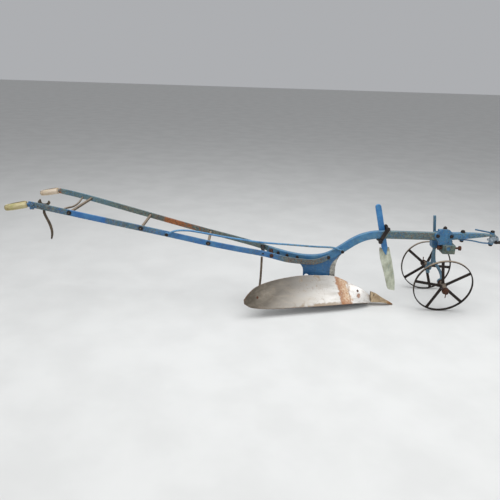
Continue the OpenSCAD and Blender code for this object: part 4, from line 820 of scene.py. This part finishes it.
bow_near = vec([-1812, right_at(-1812)[1] + seat + 0.6, 702])
bow_far = vec([-1812, left_at(-1812)[1] - seat, 676])
s = Shape()
s.rod([bow_near, vec([-1806, -245, 706]), vec([-1788, -215, 708]), vec([-1774, -160, 701]),
       vec([-1774, -90, 694]), vec([-1780, -10, 688]), vec([-1793, 80, 682]), vec([-1806, 150, 677]),
       vec([-1811, 182, 676]), bow_far], 12, spacing=6, n=20)
for at, way in ((bow_near, -1), (bow_far, 1)):
    head = [(6.6, 2 * seat), (7, 2 * seat + 0.5), (6, 2 * seat + 1.5), (3, 2 * seat + 2)] if way < 0 else [
        (7.4, 2 * seat), (8, 2 * seat + 0.8), (7.6, 2 * seat + 3), (5.5, 2 * seat + 4.7), (2, 2 * seat + 5)]
    s.lathe(at, (0, way, 0), [(3.9, -1), (3.9, 2 * seat)] + head, 28, mat=1 if way < 0 else 0)
s.make("bowed_stay_bar", "plough_frame", "bare_rusty", [METAL["stay"], PAINT["handle_right"]],
        ["handle_bow_stay"], rough=0.25, seed=5)

# Bolt and square lug behind the right grip
s = Shape()
x = -1983
y = right_at(x)[1] - handle_t / 2 - 3
s.lathe((x, y - 6, 741), (0, 1, 0), [(4, 0), (4, handle_t + 14)], 20)
s.hex((x, y, 741), (0, -1, 0), 11, 8, 0)
s.hex((x, y + handle_t + 5, 741), (0, 1, 0), 9, 7, 0)
s.thread((x, y + handle_t + 11, 741), (0, 1, 0), 8, 2.4)
s.round_box((x, y - 3, 724.5), (28, 6, 21), 1.2)
s.make("grip_lug_bolt", "plough_frame", "dark_iron", [PAINT["handle_right"]], ["handle_end_bolts"])

# Cast spacer between the handles, and the long bolt with its tube
s = Shape()
x, z = -511, 404
y0 = right_at(x)[1] + handle_t / 2 + 2.8
y1 = 30 - handle_t / 2 - 3.6
s.round_box((x, y0 + 5, z), (28, 10, 32), 2.5)
s.round_box((x, y1 - 5, z), (28, 10, 32), 2.5)
s.lathe((x, y0 + 9, z), (0, 1, 0), [(14.5, 0), (13, 2.5), (12, 7), (12, y1 - y0 - 25), (13, y1 - y0 - 20.5),
        (14.5, y1 - y0 - 18)], 36)
s.lathe((x, y0 - 17, z), (0, 1, 0), [(5.2, 0), (5.9, 0.8), (5.9, y1 - y0 + 47)], 24)
s.hex((x, y1 + 17.5, z), (0, 1, 0), 12, 10, 0)
s.make("cast_spacer", "plough_frame", "dark_iron", [METAL["black"]], ["handle_spacer"], rough=0.3)

s = Shape()
x, z = -452, beam_z - 140
s.lathe((x, -128, z), (0, 1, 0), [(5.2, 0), (6, 1), (6, 171), (5.2, 172)], 24)
s.lathe((x, -97.5, z), (0, 1, 0), [(9, 0), (10, 1), (10, 81), (9, 82.3)], 32)
s.hex((x, -117, z), (0, -1, 0), 14, 9, 20)
s.hex((x, 29, z), (0, 1, 0), 13, 10, 0)
s.round_box((x, -beam_side - 6.2, z), (26, 11.5, 26), 2)
s.make("long_spacer_bolt", "plough_frame", "bare_rusty", [METAL["hub"]], ["spacer_bolt"], rough=0.15)

# Brace rod
rod_x, rod_d = -1150, 13
s = Shape()
s.rod([vec(p) for p in (
    [rod_x, -208.3, 546], [-1138, -208.3, 551], [-1118, -207, 563], [-1092, -202, 571],
    [-1062, -196, 573.5], [-1030, -188, 571.5], [-995, -178, 567], [-905, -157, 547],
    [-800, -138, 523], [-680, -118, 500], [-520, -92, 473], [-324, -62, 453], [-160, -38, 437],
    [-60, -25, 431], [-12, -22.2, 426], [22, -21.9, 413], [44, -21.9, 401])], rod_d, spacing=7, n=20)
rod_z = right_at(rod_x)[2]
s.eye((rod_x, -214.7, rod_z), (0, 1, 0), [(6.3, 0.6), (7, 0), (12, 0), (13, 1)], 12.7)
s.eye((44, -28.2, 401), (0, 1, 0), [(6.2, 0.6), (7, 0), (12.8, 0), (14, 1.2)], 13)
s.make("long_brace_rod", "plough_frame", "blue_paint", [PAINT["rod"]], ["brace_rod"], rough=0.2)

# Bolts of the handles
s = Shape()
for bx, bz in ((-402, beam_z - 154), (-339, beam_z - 170), (-268, beam_z - 183)):
    s.bolt_y(bx, bz, -beam_side - 0.2, 27.4, 12)
s.bolt_y(rod_x, rod_z, -215.1, right_at(rod_x)[1] + 8, 12)
s.make("handle_bolt_set", "plough_frame", "dark_iron", [METAL["nuts"]], ["handle_bolts"], rough=0.15,
        rough_scale=0.008)
s = Shape()
s.bolt_y(-49, beam_z - 173, -27.4, 27.2, 12)
s.bolt_y(44, beam_z - 128, -28.8, 27.2, 12)
s.make("frog_bolt_set", "plough_frame", "dark_iron", [METAL["nuts"]], ["frog_bolts"], rough=0.15,
        rough_scale=0.008)

# ------------------------------------------------------------------ mouldboard and share
board_top = [
    [96, -18, 177], [6, -30, 218], [-80, -40, 226], [-166, -54, 230], [-280, -86, 231],
    [-432, -155, 222], [-545, -240, 208], [-600, -310, 183], [-627, -342, 152]]
board_bottom = [
    [122, -120, 50], [30, -150, 53], [-60, -174, 54], [-150, -198, 56], [-270, -228, 58],
    [-400, -262, 61], [-505, -288, 68], [-580, -312, 84], [-625, -340, 122]]
board_hollow = [10, 14, 18, 22, 24, 22, 14, 6, 1]
share_top = [[272, -1.5, 70], [214, -8, 116], [165, -14, 142], [134, -16.5, 157], [96.5, -18.5, 175]]
share_bottom = [[268, -50, 31], [225, -76, 40], [188, -94, 46], [158, -106, 49], [122.5, -120, 50]]
share_hollow = [2, 6, 8, 9, 10]


def curved_plate(name, top, bottom, hollow, thick, node, material, spacing, rows, nick, wavy):
    """Plate between two smooth edges, hollowed towards the land, with worn and rounded rims."""
    stations = smooth([top[i] + bottom[i] + [hollow[i]] for i in range(len(top))], spacing)
    grid = []
    for st in stations:
        b, a, h = st[:3], st[3:6], st[6]
        grid.append([a + (b - a) * v + np.array([0, h * 4 * v * (1 - v), 0])
                for v in np.linspace(0, 1, rows + 1)])
    g = np.array(grid)
    count, m = g.shape[:2]
    normal = np.zeros_like(g)
    for i in range(count):
        for j in range(m):
            along_x = g[min(i + 1, count - 1)][j] - g[max(i - 1, 0)][j]
            across = g[i][min(j + 1, m - 1)] - g[i][max(j - 1, 0)]
            normal[i, j] = unit(np.cross(along_x, across))
    shape = Shape()
    index = {}
    inner = 1.6
    for i in range(count):
        for j in range(m):
            p = g[i, j]
            wave = wavy * (noise.noise(Vector(p / 62)) + 0.4 * noise.noise(Vector(p / 21)))
            edge = min(i, count - 1 - i, j, m - 1 - j) == 0
            if edge:
                centre = g[min(max(i, 1), count - 2), min(max(j, 1), m - 2)]
                bite = max(0.0, noise.noise(Vector(p / 9)) + 0.5 * noise.noise(Vector(p / 3.5)))
                p = p + unit(centre - p + 1e-9) * nick * bite
            layers = ((0, wave, inner), (1, inner * 0.6, 0.45), (2, thick - inner * 0.6, 0.45),
                      (3, thick, inner))
            for layer, depth, pull in layers:
                if layer in (1, 2) and not edge:
                    continue
                q = p + normal[i, j] * depth
                if edge:
                    q = q + unit(centre - g[i, j] + 1e-9) * pull
                index[i, j, layer] = len(shape.verts)
                shape.verts.append(q)
    for i in range(count - 1):
        for j in range(m - 1):
            for layer in (0, 3):
                f = [index[i + a, j + b, layer] for a, b in ((0, 0), (1, 0), (1, 1), (0, 1))]
                shape.faces.append(f if layer else f[::-1])
    rim = ([(i, 0) for i in range(count - 1)] + [(count - 1, j) for j in range(m - 1)]
           + [(i, m - 1) for i in range(count - 1, 0, -1)] + [(0, j) for j in range(m - 1, 0, -1)])
    for k, at in enumerate(rim):
        nxt = rim[(k + 1) % len(rim)]
        for layer in range(3):
            shape.faces.append([index[(*at, layer)], index[(*nxt, layer)], index[(*nxt, layer + 1)],
                    index[(*at, layer + 1)]])
    shape.mats = [0] * len(shape.faces)
    return shape.make(name, "plough_frame", "worn_steel", [material], [node])


curved_plate("mouldboard_plate", board_top, board_bottom, board_hollow, 7, "mouldboard", METAL["steel"],
        6, 34, 1.2, 0.5)
curved_plate("share_plate", share_top, share_bottom, share_hollow, 9, "share", METAL["steel"],
        4, 30, 2.2, 0.5)

# Countersunk bolts of the board and share, and the rod behind the board's tail
stay_bolt = (vec([-540, -261, 138]), unit([-0.56, 0.747, -0.358]))
lug_bolts = [(vec([-150, -96.6, 150]), unit([-0.168, 0.765, -0.622]), 46),
        (vec([60, -74, 120]), unit([-0.293, 0.73, -0.618]), 46),
        (vec([176, -30.7, 111.2]), unit([-0.361, 0.721, -0.592]), 34)]
s = Shape()
for k, (at, way, length) in enumerate([(*stay_bolt, 17)] + lug_bolts):
    profile = [(3.5, 0.35), (6.5, 0.2), (8.2, 0), (9, 0.7), (8.7, 2.2), (5, 6), (4.75, 7),
            (4.75, length + 0.9)]
    s.lathe(at - way * 0.9, way, profile, 32, mat=1 if k in (1, 2) else 0)
s.make("plate_bolt_set", "plough_frame", "bare_rusty", [METAL["bolts"], METAL["steel"]],
        ["mouldboard_bolts"], rough=0.2, rough_scale=0.006)

s = Shape()
s.rod([vec(p) for p in ([-518, -121, 380], [-519, -124, 300], [-522, -132, 220], [-528, -160, 168],
        [-535, -205, 148], [-544, -240, 141], [-548, -253, 139])], 15, spacing=6,
      up=(1, 0, 0), n=22)
s.lathe(stay_bolt[0], stay_bolt[1], [(12.5, 7.8), (14, 8.8), (14, 14.8), (12.5, 15.8)], 36)
s.make("mouldboard_stay_rod", "plough_frame", "bare_rusty", [METAL["stay"]], ["mouldboard_stay"],
        rough=0.35)

# ------------------------------------------------------------------ castings from their CAD shapes
SOFT = [
    ("frog", PAINT["frog"], 3.0), ("shin", METAL["shin"], 1.5), ("landside", METAL["shin"], 1.5),
    ("slade", METAL["soil"], 2.0), ("share_point", METAL["soil"], 2.0),
    ("coulter_stalk", PAINT["clean"], 2.2), ("coulter_blade", METAL["blade"], 1.0),
    ("coulter_clamp_plate", METAL["black"], 1.6), ("coulter_clamp_strap", METAL["black"], 1.6),
    ("spanner_clip", PAINT["handle_right"], 1.0), ("spanner", METAL["spanner"], 1.6),
    ("bracket_near_cheek", PAINT["casting"], 2.0), ("bracket_far_cheek", PAINT["casting"], 2.0),
    ("cross_bar_block", PAINT["block"], 2.5), ("land_clamp", PAINT["casting"], 2.0),
    ("cross_bar", PAINT["casting"], 1.2), ("block_pin", PAINT["casting"], 1.0),
    ("hake", METAL["grey"], 1.4), ("hake_arm", PAINT["casting"], 1.2), ("hake_pin", METAL["black"], 1.0),
    ("draught_link", METAL["black"], 1.4), ("draught_pin", METAL["black"], 0.8),
    ("cross_bar_set_bolts", METAL["bolts"], 1.2), ("land_clamp_bolt", METAL["nuts"], 0.8),
]
for node, material, width in SOFT:
    soften(node, material, width)

# ------------------------------------------------------------------ bolts in front
s = Shape()
clamp_bar_t, gap = 18, 0.3
strap_y = beam_side + gap + clamp_bar_t + gap
for bx, bz in ((343.5, beam_z + 44.5), (300.3, beam_z - 46.5)):
    s.bolt_y(bx, bz, -beam_side - 9.1, strap_y + 9.1, 16)
s.make("coulter_clamp_bolt_set", "plough_frame", "dark_iron", [METAL["black"]],
        ["coulter_clamp_bolts"], rough=0.2, rough_scale=0.01)

s = Shape()
z1 = beam_z + 38
tip = beam_z - 25 - 14 * 0.95
s.lathe((brace_bolt_x, 0, tip), (0, 0, 1), [(5.6, 0), (7, 1.4), (7, z1 - beam_z + 25 + 12)], 24)
s.hex((brace_bolt_x, 0, z1), (0, 0, 1), 14, 9, 0)
s.hex((brace_bolt_x, 0, beam_z - 25), (0, 0, -1), 14, 10.5, 0)
s.washer((brace_bolt_x, 0, beam_z + 33), (0, 0, 1), 16, 5.2, 7.1)
s.make("brace_bolt", "plough_frame", "dark_iron", [METAL["nuts"]], ["beam_brace_bolt"], rough=0.15)

cheek = 12
post_tilt = math.radians(7)
post_mid = vec([699, 56, 476])
s = Shape()
for bx in (689, 783):
    s.bolt_y(bx, beam_z + 8, -beam_side - cheek - 0.1, beam_side + cheek + 0.1, 12)
s.lathe(post_mid + vec([0, 10.1, 0]), (0, 1, 0), [(5.9, 0), (5.9, 24)], 24)
s.hex(post_mid + vec([0, 24, 0]), (0, 1, 0), 13, 11, 0)
s.make("bracket_bolt_set", "plough_frame", "dark_iron", [METAL["nuts"]], ["bracket_bolts"], rough=0.15,
        rough_scale=0.008)

s = Shape()
screw_x, top = 742, beam_z + 30
s.lathe((screw_x, 0, top - 0.5), (0, 0, 1), [(7.6, 0), (7.6, 35)], 28)
s.lathe((screw_x, 0, top + 21.4), (0, 0, 1), [(14, 0), (14.8, 0.8), (14.8, 4.2), (14, 5)], 36)
s.hex((screw_x, 0, top + 26.4), (0, 0, 1), 13.5, 10, 0)
s.lathe((screw_x, 0, top + 36), (0, 0, 1), [(9, 0), (8, 1.6), (5, 5.2), (2.6, 5.6)], 28)
s.make("bracket_set_screw", "plough_frame", "dark_iron", [METAL["nuts"]], ["bracket_set_bolt"],
        rough=0.15)

s = Shape()
s.hex((hake_x, 0, eye_z + 6 + 0.3 + 13), (0, 0, 1), 15, 11, 0, hole=8.05)
s.hex((hake_x, 0, 483 - 0.3), (0, 0, -1), 15, 11, 0, hole=8.05)
s.make("hake_nut_pair", "hake_head", "dark_iron", [METAL["nuts"]], ["hake_nuts"], rough=0.15)

# ------------------------------------------------------------------ wheels
RIM_W, RIM_T, AXLE_D = 18, 7.5, 26
SPOKE_W, SPOKE_T, STANDARD_W = 20, 9, 17
FURROW_D, FURROW_LEAN, LAND_D, LAND_LEAN = 410, 11, 380, 4
NAVE_OUT, NAVE_IN, NAVE_R, NAVE_CAP = 67, 40, 18, 24.5


def wheel_frame(hub, lean, flipped):
    m = Matrix.Translation(Vector(hub)) @ Matrix.Rotation(math.radians(lean), 4, "X")
    return m @ Matrix.Rotation(math.pi, 4, "Z") if flipped else m


def hub_height(d, lean):
    """Height of the hub when the lower rim of the leaning tyre stands on the ground."""
    a = math.radians(lean)
    return d / 2 * math.cos(a) + RIM_W / 2 * math.sin(a)


furrow_hub = (745, -114, hub_height(FURROW_D, FURROW_LEAN))
land_hub = (758, 330, hub_height(LAND_D, LAND_LEAN))


def moved(shape, m):
    shape.verts = [np.array((m @ Vector(v))[:]) for v in shape.verts]
    return shape


def wheel(side, hub, lean, flipped, d, spokes, linch_tail, standard_line):
    m = wheel_frame(hub, lean, flipped)
    r = d / 2
    wheel_body, leg = side + "_wheel", side + "_leg"
    y_axis = (0, 1, 0)
    # Tyre: a flat iron hoop, its tread worn round at both rims
    w = RIM_W / 2
    inner = r - RIM_T
    half = [(inner, -w + 2), (inner + 0.6, -w + 0.6), (inner + 1.6, -w), (r - 4, -w), (r - 2.4, -w + 0.4),
            (r - 1.1, -w + 1.4), (r - 0.25, -w + 3), (r, -w / 2)]
    profile = (half + [(r, 0)] + [(q, -h) for q, h in reversed(half)]
               + [(inner - 0.2, w / 2), (inner - 0.2, -w / 2)])
    mats = [0] * 4 + [1] * 8 + [0] * 7
    shape = Shape().lathe((0, 0, 0), y_axis, profile, 220, hole=True, mats=mats)
    moved(shape, m).make(side + "_tyre", wheel_body, "wheel_black", [METAL["wheel"], METAL["tread"]],
            [side + "_rim"], rough=0.35, rough_scale=0.025)
    # Spokes: flat bars, a little wider where they meet the nave and the tyre
    shape = Shape()
    root = 22.5
    for angle in spokes:
        a = math.radians(angle)
        way = np.array([math.cos(a), 0, math.sin(a)])
        path = []
        for t in np.linspace(0, 1, 26):
            rad = root + (r - RIM_T + 0.4 - root) * t
            wide = SPOKE_W + 2.0 * (math.exp(-((t / 0.09) ** 2)) + 0.7 * math.exp(-(((1 - t) / 0.06) ** 2)))
            path.append(np.append(way * rad, wide))
        shape.sweep(path, lambda i, inset, path=path: rounded_rect(
            path[i][3] - 2 * inset, SPOKE_T - 2 * inset, 2.6, (3, 2)), up=(0, 1, 0), cap=0.8)
    moved(shape, m).make(side + "_spoke_set", wheel_body, "wheel_black", [METAL["wheel"]],
            [side + "_spokes"], rough=0.3, rough_scale=0.02)
    # Nave with its flange and its cap in front
    bore = AXLE_D / 2 + 0.05
    profile = [(bore, NAVE_IN - 1), (bore + 1, NAVE_IN), (NAVE_R - 2.5, NAVE_IN), (NAVE_R, NAVE_IN - 2.5),
            (NAVE_R, 22), (NAVE_R + 0.6, 17), (NAVE_R + 3, 13.4), (NAVE_R + 5.2, 11.4), (NAVE_R + 6, 9.4),
            (NAVE_R + 6, -9.4), (NAVE_R + 5.2, -11.4), (NAVE_R + 3, -13.4), (NAVE_R + 0.6, -17),
            (NAVE_R, -22), (NAVE_R - 0.5, 17 - NAVE_OUT), (NAVE_CAP - 3, 15 - NAVE_OUT),
            (NAVE_CAP - 0.8, 13.6 - NAVE_OUT), (NAVE_CAP, 12 - NAVE_OUT), (NAVE_CAP, 3 - NAVE_OUT),
            (NAVE_CAP - 0.8, 1 - NAVE_OUT), (NAVE_CAP - 2.2, -NAVE_OUT), (bore + 1, -NAVE_OUT),
            (bore, 1 - NAVE_OUT)]
    mats = [0] * 14 + [1] * 9
    shape = Shape().lathe((0, 0, 0), y_axis, profile, 56, hole=True, mats=mats)
    moved(shape, m).make(side + "_hub", wheel_body, "hub_rust", [METAL["barrel"], METAL["hub"]],
            [side + "_nave"])
    # Axle with its collar
    ar = AXLE_D / 2
    profile = [(ar - 2.2, -NAVE_OUT - 22), (ar - 0.6, -NAVE_OUT - 20.8), (ar, -NAVE_OUT - 19),
            (ar, NAVE_IN + 0.3), (ar + 7, NAVE_IN + 0.3), (ar + 8, NAVE_IN + 1.4), (ar + 8, NAVE_IN + 10.8),
            (ar + 7, NAVE_IN + 12), (ar, NAVE_IN + 12), (ar, NAVE_IN + 25), (ar - 1, NAVE_IN + 26)]
    shape = Shape().lathe((0, 0, 0), y_axis, profile, 44)
    moved(shape, m).make(side + "_axle_bar", leg, "hub_rust", [METAL["hub"]], [side + "_axle"])
    # Linch pin with a washer and a ball end
    linch_y = NAVE_OUT + 12
    shape = Shape()
    shape.washer((0, -linch_y + 4.5, 0), y_axis, ar + 7, 7.2, ar + 0.1)
    low = -18 if linch_tail > 0 else -44
    pin = [(2, 0), (3.3, 1.4), (3.5, 6), (3.5, 56), (3.2, 60.6), (2.2, 62)]
    shape.lathe((0, -linch_y, low), (0, 0, 1), pin, 20)
    ball = [(6 * math.cos(math.radians(a)), 6 * math.sin(math.radians(a))) for a in range(-80, 81, 16)]
    shape.lathe((0, -linch_y, -linch_tail * 20), (0, 1, 0), ball, 24)
    moved(shape, m).make(side + "_linch", leg, "bare_rusty", [METAL["bolts"]], [side + "_linch_pin"],
            rough=0.2, rough_scale=0.008)
    # Standard: square bar from the top down to the axle's boss
    shape = Shape()
    stations = [p + [STANDARD_W] for p in standard_line]
    shape.bar(stations, STANDARD_W, 2.6, spacing=6, up=(1, 0, 0), flat=(3, 3), cap=1.6)
    boss = Shape()
    boss.eye((0, NAVE_IN + 12.2, 0), y_axis, [(ar + 0.1, 0.8), (ar + 1, 0), (22.5, 0), (24, 1.5)], 13.8, 44)
    if flipped:
        for z in (-34, 34):
            boss.round_box((0, NAVE_IN + 19.1, z), (26, 13.8, 18), 2.5)
    moved(boss, m)
    base = len(shape.verts)
    shape.verts += list(boss.verts)
    shape.faces += [[i + base for i in f] for f in boss.faces]
    shape.mats += boss.mats
    shape.make(side + "_standard_bar", leg, "blue_paint", [PAINT["posts"]], [side + "_standard"],
            rough=0.3, rough_scale=0.03)


def post_point(h):
    return [699 - h * math.sin(post_tilt), 56, 476 + h * math.cos(post_tilt)]


def foot(hub, lean, sign):
    reach = NAVE_IN + 19
    a = math.radians(lean)
    return vec([hub[0], hub[1] + sign * reach * math.cos(a), hub[2] + reach * math.sin(a)])


f = foot(furrow_hub, FURROW_LEAN, 1)
furrow_bend = [post_point(h) for h in (186, 80, 0, -70, -118)] + [
    [718, 46, 325], [735, 29, 297], [752, 13, 270], [761, -6, 244], [757, -32, 224],
    [745, f[1] + 3, f[2] + 1]]
f = foot(land_hub, LAND_LEAN, -1)
land_bend = [[734, 140, 505], [734, 140, 430], [734, 140, 350], [734, 140, 305],
        [738, 160, 266], [747, 205, 230], [755, 245, 207], [f[0], f[1] - 2, f[2] + 1]]
wheel("furrow", furrow_hub, FURROW_LEAN, False, FURROW_D, (33, 101, 170.5, 246, 320), -1, furrow_bend)
wheel("land", land_hub, -LAND_LEAN, True, LAND_D, (39, 111, 183.5, 254, 326), 1, land_bend)

# Any node with no piece of its own still gets a finish
spare = {"blue_paint": PAINT["casting"], "dark_iron": METAL["nuts"], "bare_rusty": METAL["bolts"],
        "worn_steel": METAL["shin"], "soiled_steel": METAL["soil"], "pale_paint": METAL["blade"],
        "wheel_black": METAL["wheel"], "hub_rust": METAL["hub"], "grey_iron": METAL["grey"],
        "pale_wood": GRIP_RIGHT}
for node, obj in frame["nodes"].items():
    if not obj.hide_render:
        print("CAD node shown as it is:", node)
    obj.data.materials.clear()
    obj.data.materials.append(spare[slot_of[node]])

# ------------------------------------------------------------------ floor, light, camera
def floor():
    size = 30.0
    mesh = bpy.data.meshes.new("floor")
    corners = [(-size, -size, 0), (size, -size, 0), (size, size, 0), (-size, size, 0)]
    mesh.from_pydata(corners, [], [(0, 1, 2, 3)])
    g = Graph("plain_pale_floor")
    tone = g.mix(g.step(g.noise(3, 3, 0.5), 0.3, 0.7), srgb(206, 206, 204), srgb(212, 212, 210))
    mesh.materials.append(g.finish(tone, 0.9, 0.0, 0.2))
    obj = bpy.data.objects.new("floor", mesh)
    bpy.context.scene.collection.objects.link(obj)
    obj.location.z = -0.0005


floor()

world = bpy.data.worlds.new("studio")
world.use_nodes = True
back = world.node_tree.nodes["Background"]
back.inputs[0].default_value = srgb(236, 238, 242)
back.inputs[1].default_value = 0.5
bpy.context.scene.world = world


def area(name, at, target, size, power, colour=(1, 1, 1)):
    light = bpy.data.lights.new(name, "AREA")
    light.shape = "RECTANGLE"
    light.size, light.size_y = size
    light.energy = power
    light.color = colour
    obj = bpy.data.objects.new(name, light)
    bpy.context.scene.collection.objects.link(obj)
    obj.location = at
    obj.rotation_euler = (Vector(target) - Vector(at)).to_track_quat("-Z", "Y").to_euler()


area("sky_panel", (-0.4, -0.6, 4.2), (-0.4, 0, 0.3), (5.5, 3.5), 190, (0.97, 0.985, 1.0))
area("front_panel", (-1.2, -4.8, 2.4), (-0.3, 0, 0.4), (4.5, 2.4), 52, (1.0, 0.995, 0.98))
area("right_panel", (3.6, -1.8, 2.0), (0.3, 0, 0.3), (2.2, 2.0), 35)

pitch, roll = math.radians(19.3), math.radians(1.8)
forward = Vector((0, math.cos(pitch), -math.sin(pitch)))
right0 = Vector((1, 0, 0))
down0 = forward.cross(right0)
right = right0 * math.cos(roll) - down0 * math.sin(roll)
down = right0 * math.sin(roll) + down0 * math.cos(roll)
camera = bpy.data.objects.new("camera", bpy.data.cameras.new("camera"))
camera.data.sensor_width = 36
camera.data.lens = 39.6
camera.data.clip_end = 100
bpy.context.scene.collection.objects.link(camera)
turn = Matrix((right, -down, -forward)).transposed().to_4x4()
camera.matrix_world = Matrix.Translation((-0.600, -3.645, 1.660)) @ turn
bpy.context.scene.camera = camera
bpy.context.scene.view_settings.view_transform = "Standard"
